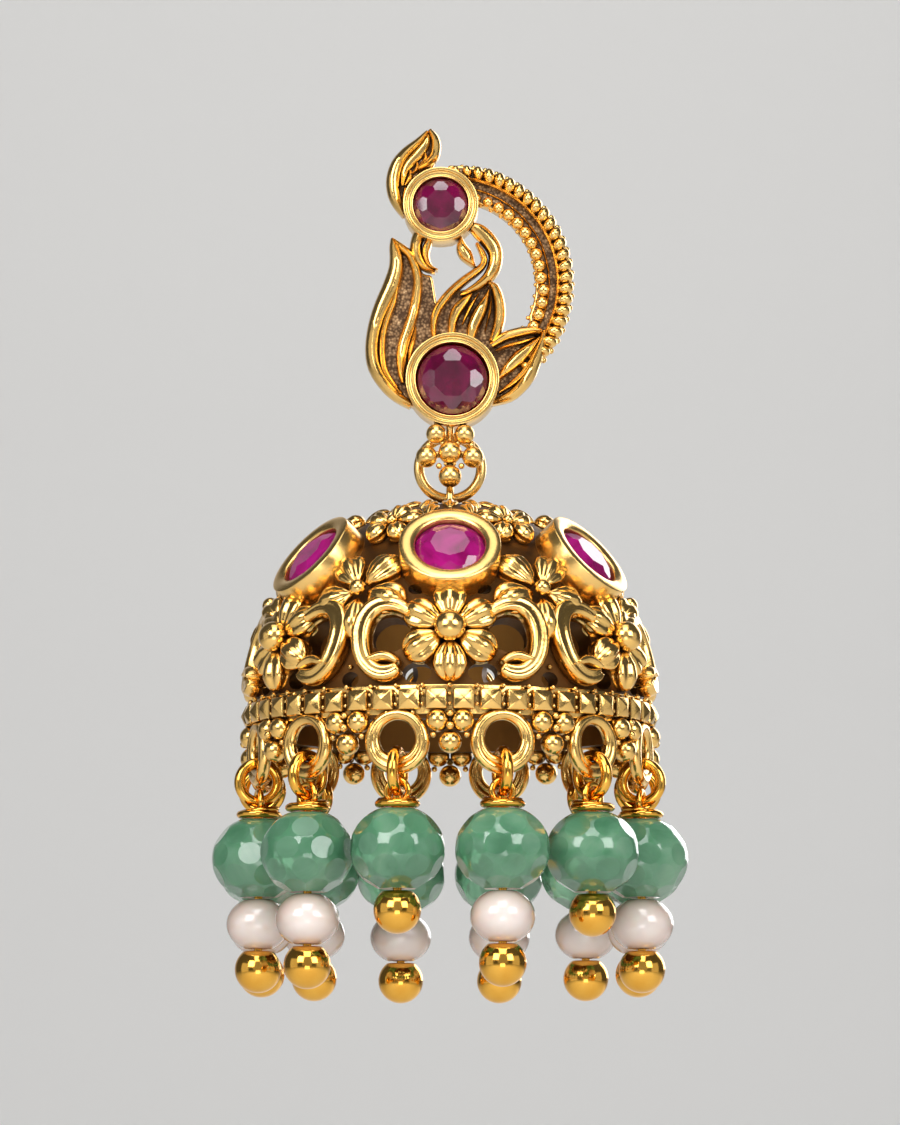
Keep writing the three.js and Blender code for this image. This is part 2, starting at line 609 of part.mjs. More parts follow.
// Drop 1 hangs beside the back middle on the -X side, and the count runs round by the front
for (let i = 0; i < DROPS; i += 1) {
  const number = String(i + 1).padStart(2, '0');
  const short = SHORT_DROPS.includes(i);
  const azimuth = (i + 0.5) * DROP_TURN - 180;
  const drop = new THREE.Group();
  drop.rotation.z = radians(azimuth);
  hanging.add(drop);
  const line = new THREE.Group();
  line.position.y = -RIM_RADIUS;
  drop.add(line);

  const jumpShape = new THREE.TorusGeometry(JUMP.radius, JUMP.wire, WIRE, ROUND);
  const jumpRing = meshOf(solid(jumpShape), `jump_ring_${number}`, BRIGHT_GOLD);
  jumpRing.rotation.y = Math.PI / 2;
  jumpRing.position.z = JUMP.z;
  line.add(jumpRing);

  const beadCentre = COIL.bottom - BEAD_GAP - BEAD.half;
  const pearlCentre = beadCentre - BEAD.half - BEAD_GAP - PEARL.half;
  const lastBead = short ? beadCentre - BEAD.half : pearlCentre - PEARL.half;
  const ballCentre = lastBead - BEAD_GAP - END_BALL.neck;
  line.add(meshOf(dropPin(ballCentre), `drop_pin_${number}`, BRIGHT_GOLD));

  const bead = meshOf(solid(drilled(BEAD)), `green_bead_${number}`, GREEN);
  bead.position.z = beadCentre;
  line.add(bead);
  if (!short) {
    const pearl = meshOf(solid(drilled(PEARL)), `pearl_${number}`, PEARL_WHITE);
    pearl.position.z = pearlCentre;
    line.add(pearl);
  }
}

export default earring;
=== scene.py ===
import math
import random

import bmesh
import bpy
import numpy as np
from mathutils import Matrix, Vector


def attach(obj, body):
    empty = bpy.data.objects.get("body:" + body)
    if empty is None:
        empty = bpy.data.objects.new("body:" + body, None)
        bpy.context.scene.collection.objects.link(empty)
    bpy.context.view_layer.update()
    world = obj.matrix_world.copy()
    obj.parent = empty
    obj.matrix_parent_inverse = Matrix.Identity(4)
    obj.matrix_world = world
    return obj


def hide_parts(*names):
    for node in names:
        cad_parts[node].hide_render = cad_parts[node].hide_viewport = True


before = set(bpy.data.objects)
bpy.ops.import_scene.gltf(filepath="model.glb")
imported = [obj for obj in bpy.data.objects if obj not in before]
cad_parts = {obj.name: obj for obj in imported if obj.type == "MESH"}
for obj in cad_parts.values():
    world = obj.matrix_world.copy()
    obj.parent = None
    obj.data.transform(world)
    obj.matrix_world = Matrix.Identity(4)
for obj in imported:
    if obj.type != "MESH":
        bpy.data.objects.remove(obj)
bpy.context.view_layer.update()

# Everything is modelled in millimetres and brought to metres when it is finished.
MM = 0.001
TAU = 2 * math.pi

# The ear top lies on the plane through the origin and faces -Y
STROKE_FOOT = 1.15
STROKE_RISE = 1.9
GROUND = 1.25
UPPER_BEZEL = {"x": -0.61, "z": 0.0, "radius": 2.46, "height": 2.5, "stone": 1.72}
LOWER_BEZEL = {"x": 0.16, "z": -11.62, "radius": 3.05, "height": 2.7, "stone": 2.22}
CRESCENT = {"x": 0.13, "z": -5.02, "outer": 7.95, "inner": 5.4, "from": 92, "to": -52}
RIDGE = {"radius": 6.98, "from": 84, "to": -46}
LINE = {"radius": 6.38, "from": 80, "to": -30}
TIP_RADIUS = 7.35
ROPE = {"count": 25, "from": 88, "pace": 5.7, "radius": 7.46, "behind": 7.86}
ROW = {"count": 14, "from": 74, "pace": 7.9, "radius": 5.83, "behind": 5.5}
POST = {"radius": 0.42, "length": 11.0, "root": 0.9}

# The hanging line, the link ring and the wires that hold it
HANG_Y = -0.9
RING = {"z": -17.29, "radius": 2.04, "wire": 0.34}
STAPLE_WIRE = 0.25
STAPLE_RADIUS = 0.79
BALL_Y = -2.42

# The bell is half an ellipse turned about the hanging line
BELL_RADIUS = 12.7
BELL_HEIGHT = 14.3
BELL_BASE = -34.0
BELL_RIM = -34.9
BELL_WALL = 1.15
SECTORS = 6
SECTOR = 360 / SECTORS
BELL_BEZEL = {"z": -24.4, "radius": 3.25, "height": 1.95, "stone": 2.2, "sink": 0.65}
BIG_FLOWER_Z = -29.4
SIDE_FLOWER_Z = -26.75
TOP_FLOWER_Z = -22.1
STUD_Z = -33.7
STUDS = 48
TRIO_Z = -35.4
RIM_RADIUS = 12.75
RIM_RING_Z = -36.3
RIM_RIDGES = ((1.46, 0.3, 0.15), (1.74, 0.37, -0.02))

# The drops
DROPS = 12
DROP_TURN = 360 / DROPS
SHORT_DROPS = (5, 7)
JUMP_Z = -38.2
JUMP_RADIUS = 1.26
JUMP_WIRE = 0.36
COIL_TOP = -40.0
COIL_FOOT = -40.46
BEAD_GAP = 0.14
BORE = 0.45
BEAD = {"radius": 3.0, "round": 2.75, "half": 2.5}
PEARL = {"radius": 2.05, "round": 1.76, "half": 1.58}
END_BALL = {"radius": 1.5, "neck": 1.18}
BEAD_Z = COIL_FOOT - BEAD_GAP - BEAD["half"]
PEARL_Z = BEAD_Z - BEAD["half"] - BEAD_GAP - PEARL["half"]
LONG_BALL_Z = PEARL_Z - PEARL["half"] - BEAD_GAP - END_BALL["neck"]
SHORT_BALL_Z = BEAD_Z - BEAD["half"] - BEAD_GAP - END_BALL["neck"]

# The room, in metres
FLOOR_Z = -0.16
ROOM_LIGHT = {"colour": (0.9, 0.93, 1.0, 1), "strength": 0.1}
CAMERA = {"distance": 0.36, "tilt": -7, "sensor": 24, "view_height": 0.0735}
MIDDLE = Vector((0, HANG_Y * MM, -23.5 * MM))
BACKDROP = Vector((0, 1.2, 0.1))
# Each lamp's name, place, size, power and aim
LAMPS = (
    ("key", (-0.24, -0.36, 0.16), 0.24, 1.1, MIDDLE),
    ("fill", (0.26, -0.34, 0.13), 0.22, 0.85, MIDDLE),
    ("front", (0, -1.1, 0.25), 1.0, 0.9, MIDDLE),
    ("left", (-0.6, -0.25, 0.0), 0.5, 0.45, MIDDLE),
    ("right", (0.6, -0.25, 0.0), 0.5, 0.4, MIDDLE),
    ("top", (0.0, -0.27, 0.31), 0.22, 0.6, MIDDLE),
    ("overhead", (0.0, -0.1, 0.42), 0.28, 0.4, MIDDLE),
    ("back", (0.25, 0.4, 0.12), 0.3, 1.0, MIDDLE),
    ("low", (0.0, -0.3, -0.14), 0.12, 0.12, MIDDLE),
    ("backdrop", (0, 0.5, 0.5), 0.8, 3.6, BACKDROP),
)

FACE_FRONT = Matrix.Rotation(math.pi / 2, 4, "X")
HANG = Matrix.Translation((0, HANG_Y, 0))


# Working by hand: starting, choosing, turning and finishing a piece


def let_go():
    for chosen in list(bpy.context.selected_objects):
        chosen.select_set(False)


def hold(piece):
    let_go()
    piece.select_set(True)
    bpy.context.view_layer.objects.active = piece


def started(primitive, name, **sizes):
    """A primitive added at its size and place, alone in hand."""
    let_go()
    primitive(**sizes)
    piece = bpy.context.object
    piece.name = name
    return piece


def work_on(piece):
    hold(piece)
    bpy.ops.object.mode_set(mode="EDIT")
    bpy.ops.mesh.select_all(action="SELECT")


def put_down():
    bpy.ops.object.mode_set(mode="OBJECT")


def choose(piece, kind, wanted):
    """Selects the corners, edges or faces of the piece in hand that are wanted."""
    bpy.ops.mesh.select_mode(type=kind)
    bpy.ops.mesh.select_all(action="DESELECT")
    mesh = bmesh.from_edit_mesh(piece.data)
    parts = {"VERT": mesh.verts, "EDGE": mesh.edges, "FACE": mesh.faces}[kind]
    for part in parts:
        if wanted(part):
            part.select_set(True)
    mesh.select_flush_mode()
    bmesh.update_edit_mesh(piece.data)


def turn(angle, axis, centre=(0, 0, 0)):
    """Turns what is selected by the right-hand rule."""
    bpy.ops.transform.rotate(value=-angle, orient_axis=axis, center_override=centre)


def shift(step):
    bpy.ops.transform.translate(value=step)


def stretch(factors, centre=(0, 0, 0)):
    bpy.ops.transform.resize(value=factors, center_override=centre)


def outward(piece):
    """Merges doubles and turns every face outwards."""
    work_on(piece)
    bpy.ops.mesh.remove_doubles(threshold=0.0005)
    bpy.ops.mesh.normals_make_consistent(inside=False)
    put_down()


def treated(piece, kind, **settings):
    """A modifier with these settings, applied."""
    hold(piece)
    bpy.ops.object.modifier_add(type=kind)
    modifier = piece.modifiers[-1]
    for setting, value in settings.items():
        setattr(modifier, setting, value)
    bpy.ops.object.modifier_apply(modifier=modifier.name)
    return piece


def rounded(piece, width, segments=2, angle=35):
    """Softens the edges that are sharper than this angle."""
    sharp = math.radians(angle)
    return treated(piece, "BEVEL", width=width, segments=segments, limit_method="ANGLE", angle_limit=sharp)


def smoothed(piece):
    return treated(piece, "SUBSURF", levels=1, render_levels=1)


def ground_off(place, normal, threshold=1e-4):
    """Grinds away what lies beyond a plane, and closes the cut."""
    bpy.ops.mesh.select_all(action="SELECT")
    bpy.ops.mesh.bisect(
        plane_co=place, plane_no=normal, use_fill=True, clear_outer=True, threshold=threshold
    )


def copied(piece, name, place=None):
    """A copy with its own mesh, put in place by a matrix."""
    copy = piece.copy()
    copy.data = piece.data.copy()
    copy.name = name
    bpy.context.scene.collection.objects.link(copy)
    return placed(copy, place) if place else copy


def placed(piece, place):
    piece.data.transform(place)
    if place.determinant() < 0:
        piece.data.flip_normals()
    return piece


def joined(name, pieces):
    hold(pieces[0])
    for piece in pieces[1:]:
        piece.select_set(True)
    if len(pieces) > 1:
        bpy.ops.object.join()
    pieces[0].name = name
    return pieces[0]


def thrown_away(*pieces):
    for piece in pieces:
        bpy.data.objects.remove(piece)


def finished(piece, body, finish, angle, stands_for=()):
    """Brings a piece to metres, smooths it up to this edge angle, finishes it and hangs it on its body."""
    piece.data.transform(Matrix.Scale(MM, 4))
    hold(piece)
    bpy.ops.object.shade_smooth_by_angle(angle=math.radians(angle))
    piece.data.materials.clear()
    piece.data.materials.append(finish)
    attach(piece, body)
    if stands_for:
        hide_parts(*stands_for)
    return piece


# Shapes that come back all over the piece


def ball(name, radius, at=(0, 0, 0), segments=24, rings=14):
    made = started(
        bpy.ops.mesh.primitive_uv_sphere_add, name, segments=segments, ring_count=rings, radius=radius
    )
    return placed(made, Matrix.Translation(at))


def cylinder(name, radius, depth, sides, **more):
    primitive = bpy.ops.mesh.primitive_cylinder_add
    return started(primitive, name, vertices=sides, radius=radius, depth=depth, **more)


def hoop(name, radius, wire, around=48, thick=16):
    primitive = bpy.ops.mesh.primitive_torus_add
    sizes = {"major_radius": radius, "minor_radius": wire}
    return started(primitive, name, major_segments=around, minor_segments=thick, **sizes)


def rod(name, ends, radius):
    """A round rod between two places."""
    start, stop = (Vector(end) for end in ends)
    line = stop - start
    quarter = Vector((0, 0, 1)).rotation_difference(line).to_matrix().to_4x4()
    return placed(cylinder(name, radius, line.length, 12), Matrix.Translation((start + stop) / 2) @ quarter)


def through(rows, steps):
    """A smooth run of (x, y, half width) through given rows, with this many steps between them."""
    ends = [rows[0], *rows, rows[-1]]
    run = []
    for before, first, second, after in zip(ends, ends[1:], ends[2:], ends[3:]):
        for step in range(steps):
            t = step / steps
            run.append(tuple(
                0.5 * (2 * b + (c - a) * t + (2 * a - 5 * b + 4 * c - d) * t * t
                       + (3 * b - a - 3 * c + d) * t ** 3)
                for a, b, c, d in zip(before, first, second, after)
            ))
    run.append(tuple(rows[-1]))
    return run


def headings_along(places):
    """The way that a run looks at each of its places."""
    last = len(places) - 1
    headings = []
    for i in range(last + 1):
        ahead = places[min(i + 1, last)] - places[max(i - 1, 0)]
        headings.append(math.atan2(ahead.y, ahead.x))
    return headings


def band(name, stations, rise, foot=STROKE_FOOT, groove=0.0, sides=12, widen=1.0):
    """A raised band on the flat, drawn out station by station. A groove sinks its crest into two ridges."""
    places = [Vector((x, y, foot)) for x, y, _ in stations]
    halves = [max(half * widen, 0.04) for _, _, half in stations]
    headings = headings_along(places)
    piece = started(bpy.ops.mesh.primitive_circle_add, name, vertices=sides, radius=1, fill_type="NGON")
    work_on(piece)
    turn(math.pi / 2, "X")
    if groove:
        choose(piece, "VERT", lambda corner: corner.co.z > 0.95)
        shift((0, 0, -groove))
        bpy.ops.mesh.select_all(action="SELECT")
    stretch((halves[0], 1, rise - foot))
    turn(headings[0] - math.pi / 2, "Z")
    shift(places[0])
    for i in range(1, len(places)):
        bpy.ops.mesh.extrude_region_move(TRANSFORM_OT_translate={"value": places[i] - places[i - 1]})
        bend = (headings[i] - headings[i - 1] + math.pi) % TAU - math.pi
        turn(bend, "Z", places[i])
        grow = halves[i] / halves[i - 1]
        stretch((grow, grow, 1), places[i])
    put_down()
    return piece


def slab(name, outline, depth, edge=0.12):
    """A plate of the casting: a ring of corners set to the outline, raised and softened."""
    piece = started(
        bpy.ops.mesh.primitive_circle_add, name, vertices=len(outline), radius=1, fill_type="NGON"
    )
    for corner, (x, y) in zip(piece.data.vertices, outline):
        corner.co = (x, y, 0)
    work_on(piece)
    bpy.ops.mesh.extrude_region_move(TRANSFORM_OT_translate={"value": (0, 0, depth)})
    put_down()
    outward(piece)
    return rounded(piece, edge, 2, 50)


def closed_run(rows, steps):
    """A smooth closed outline through given corners."""
    ring = [(x, y, 0) for x, y in rows]
    run = through([ring[-1], *ring, ring[0], ring[1]], steps)
    return [(x, y) for x, y, _ in run[steps:-steps - 1]]


def ribbed_petal(name, length, width, height, ribs, waist=0.6):
    """A petal like a slice of melon, from its foot at the origin out along y."""
    piece = ball(name, 1)
    work_on(piece)
    turn(math.pi / 2, "X")
    grooves = [math.pi * k / ribs for k in range(ribs + 1)]

    def in_groove(corner):
        here = math.atan2(corner.co.z, corner.co.x)
        return abs(corner.co.y) < 0.99 and any(abs(here - groove) < 0.02 for groove in grooves)

    choose(piece, "VERT", in_groove)
    stretch((0.74, 1, 0.68))
    choose(piece, "VERT", lambda corner: corner.co.y < 0.1)
    stretch((0.88, 1, 0.9))
    choose(piece, "VERT", lambda corner: corner.co.y < -0.4)
    stretch((0.5 + waist / 2, 1, 0.85))
    choose(piece, "VERT", lambda corner: corner.co.y < -0.7)
    stretch((waist, 1, 0.8))
    bpy.ops.mesh.select_all(action="SELECT")
    stretch((width / 2, length / 2, height))
    shift((0, length / 2, 0))
    put_down()
    return smoothed(piece)


def rising(height):
    return math.asin((height - BELL_BASE) / BELL_HEIGHT)


def on_bell(piece, azimuth, height, spin=0.0, mirrored=False, lift=0.0):
    """Bends a flat piece onto the bell: x goes round to the right, y up the bell and z out of it."""
    count = len(piece.data.vertices)
    flat = np.empty(count * 3)
    piece.data.vertices.foreach_get("co", flat)
    x, y, z = flat.reshape(count, 3).T
    spin = math.radians(spin)
    x, y = x * math.cos(spin) - y * math.sin(spin), x * math.sin(spin) + y * math.cos(spin)
    x = x * (-1 if mirrored else 1)
    start = rising(height)
    pace = math.hypot(BELL_RADIUS * math.sin(start), BELL_HEIGHT * math.cos(start))
    angle = start + y / pace
    way = math.radians(azimuth) + x / (BELL_RADIUS * np.cos(angle))
    out = BELL_HEIGHT * np.cos(angle)
    rise = BELL_RADIUS * np.sin(angle)
    length = np.hypot(out, rise)
    reach = BELL_RADIUS * np.cos(angle) + (z + lift) * out / length
    bent = np.stack([
        reach * np.sin(way),
        HANG_Y - reach * np.cos(way),
        BELL_BASE + BELL_HEIGHT * np.sin(angle) + (z + lift) * rise / length,
    ], axis=1)
    piece.data.vertices.foreach_set("co", bent.ravel())
    if mirrored:
        piece.data.flip_normals()
    piece.data.update()
    return piece


def bell_frame(azimuth, height, lift=0.0):
    """Where a stiff piece stands on the bell: x to the right, y up it and z out of it."""
    angle = rising(height)
    way = math.radians(azimuth)
    away = Vector((math.sin(way), -math.cos(way), 0))
    right = Vector((math.cos(way), math.sin(way), 0))
    upward = Vector((0, 0, BELL_RADIUS * math.sin(angle)))
    normal = (away * BELL_HEIGHT * math.cos(angle) + upward).normalized()
    place = away * BELL_RADIUS * math.cos(angle)
    place += Vector((0, HANG_Y, BELL_BASE + BELL_HEIGHT * math.sin(angle))) + normal * lift
    up = normal.cross(right)
    return Matrix.Translation(place) @ Matrix((right, up, normal)).transposed().to_4x4()


def round_bell(azimuth, radius, height):
    """Where a stiff piece stands on the upright side of the bell."""
    return (
        HANG @ Matrix.Rotation(math.radians(azimuth), 4, "Z")
        @ Matrix.Translation((0, -radius, height)) @ FACE_FRONT
    )


# Finishes


def node(tree, kind, sockets=None, **settings):
    """A shader node. A socket takes a number, a colour or another node's output."""
    made = tree.nodes.new("ShaderNode" + kind)
    for setting, value in settings.items():
        setattr(made, setting, value)
    for socket, value in (sockets or {}).items():
        if isinstance(value, bpy.types.NodeSocket):
            tree.links.new(value, made.inputs[socket])
        else:
            made.inputs[socket].default_value = value
    return made


def noise(tree, place, scale, detail, **more):
    """How strong a cloudy pattern is at each place."""
    return node(tree, "TexNoise", {"Vector": place, "Scale": scale, "Detail": detail, **more}).outputs["Fac"]


def added(tree, first, share, second):
    """A share of one pattern on top of another."""
    return node(tree, "Math", {0: first, 1: share, 2: second}, operation="MULTIPLY_ADD").outputs["Value"]


def ramp(tree, factor, stops):
    """A colour ramp of (place, colour) stops."""
    made = node(tree, "ValToRGB", {"Fac": factor})
    band_of_colour = made.color_ramp
    while len(band_of_colour.elements) < len(stops):
        band_of_colour.elements.new(0.5)
    for element, (place, colour) in zip(band_of_colour.elements, stops):
        element.position = place
        element.color = (*colour, 1)
    return made.outputs["Color"]


def new_finish(name, **sockets):
    finish = bpy.data.materials.new(name)
    finish.use_nodes = True
    tree = finish.node_tree
    shader = tree.nodes["Principled BSDF"]
    for socket, value in sockets.items():
        shader.inputs[socket.replace("_", " ")].default_value = value
    return finish, tree, shader


def fed(tree, shader, colour, **patterns):
    """Leads the colour and other patterns to the shader's sockets."""
    tree.links.new(colour, shader.inputs["Base Color"])
    for socket, pattern in patterns.items():
        tree.links.new(pattern, shader.inputs[socket])


def object_place(tree):
    return node(tree, "TexCoord").outputs["Object"]


def bumped(tree, shader, height, depth, strength=1.0, under=None):
    sockets = {"Height": height, "Distance": depth, "Strength": strength}
    if under:
        sockets["Normal"] = under
    made = node(tree, "Bump", sockets).outputs["Normal"]
    tree.links.new(made, shader.inputs["Normal"])
    return made


def aged_gold(name, tone, shine, reach, grain):
    """Gold plate, bright where it is rubbed and brown in the hollows."""
    finish, tree, shader = new_finish(name)
    place = object_place(tree)
    hollow = node(tree, "AmbientOcclusion", {"Distance": reach}, samples=10).outputs["AO"]
    grit = noise(tree, place, 2600, 5, Roughness=0.65)
    cloud = noise(tree, place, 420, 3)
    spots = node(tree, "Math", {0: grit, 1: cloud}, operation="MULTIPLY").outputs["Value"]
    worn = added(tree, spots, 0.5, hollow)
    dim = [channel * 0.55 for channel in tone]
    colour = ramp(tree, worn, [
        (0.2, (0.03, 0.013, 0.005)),
        (0.34, (0.2, 0.09, 0.025)),
        (0.5, dim),
        (0.68, tone),
    ])
    metal = ramp(tree, worn, [(0.2, (0.4,) * 3), (0.38, (1.0,) * 3)])
    rough = ramp(tree, worn, [(0.25, (0.6,) * 3), (0.45, (shine + 0.12,) * 3), (0.75, (shine,) * 3)])
    fed(tree, shader, colour, Metallic=metal, Roughness=rough)
    waves = bumped(tree, shader, cloud, 0.00012, 0.5)
    bumped(tree, shader, grit, grain, 0.5, waves)
    return finish


def stippled_ground():
    """The matt, grainy brown between the raised strokes."""
    finish, tree, shader = new_finish("stippled ground", Metallic=0.7)
    place = object_place(tree)
    grains = node(tree, "TexVoronoi", {"Vector": place, "Scale": 5200}).outputs["Distance"]
    cloud = noise(tree, place, 1500, 4)
    mixed = added(tree, grains, 0.6, cloud)
    colour = ramp(tree, mixed, [
        (0.4, (0.5, 0.33, 0.17)),
        (0.65, (0.26, 0.15, 0.07)),
        (0.9, (0.07, 0.035, 0.015)),
    ])
    rough = ramp(tree, mixed, [(0.4, (0.32,) * 3), (0.9, (0.6,) * 3)])
    fed(tree, shader, colour, Roughness=rough)
    bumped(tree, shader, mixed, -0.00006, 1.0)
    return finish


def bright_gold():
    finish, tree, shader = new_finish("polished gold", Metallic=1.0)
    haze = noise(tree, object_place(tree), 700, 4)
    colour = ramp(tree, haze, [(0.3, (0.84, 0.42, 0.06)), (0.7, (0.93, 0.51, 0.09))])
    rough = ramp(tree, haze, [(0.3, (0.09,) * 3), (0.75, (0.17,) * 3)])
    fed(tree, shader, colour, Roughness=rough)
    bumped(tree, shader, haze, 0.00003, 0.35)
    return finish


def gem(name, deep, glow, clear):
    """Cut stone, with fine cloudy streaks."""
    finish, tree, shader = new_finish(name, Roughness=0.02, IOR=1.74, Transmission_Weight=clear)
    veil = noise(tree, object_place(tree), 500, 3, Distortion=1.0)
    colour = ramp(tree, veil, [(0.32, deep), (0.7, glow)])
    fed(tree, shader, colour)
    return finish


def green_quartz():
    finish, tree, shader = new_finish(
        "green quartz", Roughness=0.09, IOR=1.54, Transmission_Weight=0.35, Subsurface_Weight=0.5,
        Subsurface_Radius=(0.5, 1.0, 0.6), Subsurface_Scale=0.0016, Coat_Weight=0.5, Coat_Roughness=0.05,
    )
    cloud = noise(tree, object_place(tree), 260, 5, Distortion=0.8)
    colour = ramp(tree, cloud, [
        (0.3, (0.08, 0.25, 0.13)),
        (0.5, (0.14, 0.35, 0.2)),
        (0.72, (0.25, 0.47, 0.3)),
    ])
    fed(tree, shader, colour)
    return finish


def pearl_with_painted_rim_shade():
    finish, tree, shader = new_finish(
        "pearl lustre", Roughness=0.24, IOR=1.6, Subsurface_Weight=0.15, Subsurface_Scale=0.0006,
        Coat_Weight=1.0, Coat_Roughness=0.14,
    )
    # Facing weight makes the pearl darker towards its rim: painted shade at the rim, mixed with the nacre's
    # own cloudy tone.
    edge = node(tree, "LayerWeight", {"Blend": 0.35}).outputs["Facing"]
    nacre = noise(tree, object_place(tree), 330, 3)
    mixed = added(tree, nacre, 0.35, edge)
    colour = ramp(tree, mixed, [
        (0.15, (0.8, 0.71, 0.66)),
        (0.5, (0.68, 0.54, 0.47)),
        (0.9, (0.38, 0.25, 0.18)),
    ])
    fed(tree, shader, colour)
    bumped(tree, shader, nacre, 0.00004, 0.3)
    return finish


CAST_GOLD = aged_gold("aged gold", (0.93, 0.58, 0.18), 0.17, 0.0006, 0.00003)
# The whole outer wall gets a near-black gold: painted shade in the gaps between the ornaments, over its aged
# patina.
WALL_SHADE_GOLD = aged_gold("dark wall, painted shade", (0.1, 0.045, 0.014), 0.5, 0.0014, 0.00004)
# The bell's inside gets a dark gold: painted shade where the wall hides it from the lamps.
SHADED_GOLD = aged_gold("painted shade inside the bell", (0.26, 0.12, 0.03), 0.42, 0.004, 0.00004)
SATIN_GOLD = aged_gold("rubbed gold", (0.93, 0.6, 0.2), 0.25, 0.0004, 0.000015)
STIPPLED = stippled_ground()
BRIGHT_GOLD = bright_gold()
WINE = gem("wine red glass", (0.1, 0.0, 0.025), (0.36, 0.0, 0.1), 0.5)
MAGENTA = gem("magenta glass", (0.36, 0.0, 0.14), (0.72, 0.01, 0.34), 0.5)
GREEN = green_quartz()
NACRE = pearl_with_painted_rim_shade()


# Stones and their cups


def cup(name, spec, steps):
    """A stone's cup, from a round block: each step sets the face in by a width and moves it by a depth."""
    piece = cylinder(name, spec["radius"], spec["height"], 64)
    work_on(piece)
    shift((0, 0, spec["height"] / 2))
    top = spec["height"] - 0.001
    choose(piece, "FACE", lambda face: face.normal.z > 0.9 and face.calc_center_median().z > top)
    for width, depth in steps:
        bpy.ops.mesh.inset(thickness=width, depth=depth)
    put_down()
    outward(piece)
    return rounded(piece, 0.05, 2, 30)


def facet(tilt, azimuth, reach, girdle):
    """A cutting plane that leans by tilt and touches the circle of this reach at the girdle's edge."""
    aside = math.sin(tilt)
    normal = Vector((aside * math.cos(azimuth), aside * math.sin(azimuth), math.cos(tilt)))
    place = Vector((reach * math.cos(azimuth), reach * math.sin(azimuth), girdle))
    ground_off(place, normal, 1e-5)


def cut_stone(name, radius, pavilion):
    """A round brilliant, ground facet by facet, with its girdle at z = 0."""
    high = 0.3 * radius
    piece = cylinder(name, radius, high + pavilion + 0.2, 48)
    work_on(piece)
    shift((0, 0, (high - pavilion - 0.2) / 2))
    crown = math.radians(36)
    below = math.pi - math.atan(pavilion / radius)
    for k in range(8):
        main = TAU * k / 8
        facet(crown, main, radius, 0.06)
        facet(below, main, radius * 0.995, -0.06)
    for k in range(8):
        star = TAU * (k + 0.5) / 8
        facet(math.radians(24), star, radius * 0.74, 0.2 * radius)
    for k in range(16):
        edge = TAU * (k + 0.5) / 16
        facet(math.radians(43), edge, radius * 0.985, 0.07)
        facet(below - math.radians(5), edge, radius * 0.98, -0.07)
    put_down()
    outward(piece)
    return piece


EAR_CUP_STEPS = ((0.2, 0), (0.08, -0.14), (0.2, -0.02), (0.07, 0.1), (0.07, 0), (0.04, -2.0))
BELL_CUP_STEPS = ((0.1, 0.06), (0.26, 0.06), (0.34, 0), (0.24, -0.12), (0.06, -0.1), (0.02, -1.3))


def ear_stone(name, spec, node_name):
    stone = cut_stone(name, spec["stone"] + 0.04, spec["stone"] * 0.62)
    place = FACE_FRONT @ Matrix.Translation((spec["x"], spec["z"], spec["height"] - 0.5))
    placed(stone, place @ Matrix.Rotation(math.radians(22.5), 4, "Z"))
    return finished(stone, "ear_top", WINE, 5, (node_name,))


# Ear top: rows of (x, z, half width) for each stroke of the casting

CREST = (
    ((-1.48, 5.0, 0.12), (-2.15, 4.3, 0.22), (-2.88, 3.68, 0.28), (-3.4, 3.0, 0.34), (-3.68, 2.2, 0.38),
     (-3.74, 1.4, 0.38), (-3.6, 0.6, 0.34), (-3.3, -0.1, 0.24), (-3.05, -0.6, 0.12)),
    ((-1.35, 5.1, 0.14), (-1.0, 4.6, 0.24), (-0.92, 3.95, 0.28), (-1.08, 3.35, 0.28), (-1.5, 2.9, 0.24),
     (-2.1, 2.5, 0.16)),
)
CREST_VEINS = (
    ((-1.42, 4.8, 0.1), (-1.62, 4.2, 0.27), (-2.1, 3.55, 0.32), (-2.65, 2.95, 0.3), (-3.02, 2.25, 0.22),
     (-3.12, 1.4, 0.1)),
    ((-1.62, 3.6, 0.05), (-1.6, 3.2, 0.12), (-1.95, 2.85, 0.06)),
    ((-2.15, 2.95, 0.06), (-2.12, 2.6, 0.15), (-2.5, 2.2, 0.08)),
    ((-2.6, 2.4, 0.06), (-2.6, 1.95, 0.16), (-2.95, 1.4, 0.08)),
    ((-2.95, 1.3, 0.06), (-2.95, 0.85, 0.16), (-3.15, 0.2, 0.08)),
)
CREST_GROUND = (
    (-1.35, 5.15), (-0.85, 4.3), (-0.9, 3.2), (-1.5, 2.2), (-2.4, 1.4), (-2.9, 0.2), (-3.1, -0.5),
    (-3.7, 0.4), (-3.95, 1.6), (-3.6, 2.8), (-2.6, 4.1),
)
FLAME_EDGE = (
    (-3.79, -2.17, 0.12), (-3.68, -2.63, 0.27), (-3.52, -3.4, 0.37), (-3.54, -4.17, 0.42),
    (-3.84, -5.27, 0.48), (-4.36, -6.36, 0.44), (-4.78, -7.46, 0.4), (-5.04, -8.55, 0.37),
    (-5.12, -9.65, 0.36), (-4.91, -10.75, 0.36), (-4.23, -11.84, 0.34), (-3.49, -12.59, 0.3),
    (-2.55, -13.2, 0.22),
)
FLAME_LINE = (
    (-3.38, -5.05, 0.08), (-3.73, -6.36, 0.2), (-4.14, -7.46, 0.2), (-4.4, -8.55, 0.2), (-4.45, -9.65, 0.2),
    (-4.31, -10.75, 0.2), (-3.85, -11.62, 0.18), (-3.16, -12.45, 0.1),
)
FLAME_INNER = (
    (-3.7, -2.22, 0.1), (-3.27, -2.66, 0.22), (-2.66, -3.18, 0.24), (-2.3, -3.95, 0.26),
    (-2.12, -4.83, 0.27), (-2.17, -5.81, 0.29), (-2.37, -6.91, 0.31), (-2.72, -8.12, 0.32),
    (-3.05, -9.1, 0.32), (-3.19, -10.09, 0.3), (-3.18, -11.07, 0.22), (-3.07, -11.73, 0.1),
)
FLAME_THREAD = ((-2.25, -8.0, 0.06), (-2.38, -8.8, 0.14), (-2.6, -9.6, 0.14), (-2.7, -10.5, 0.08))
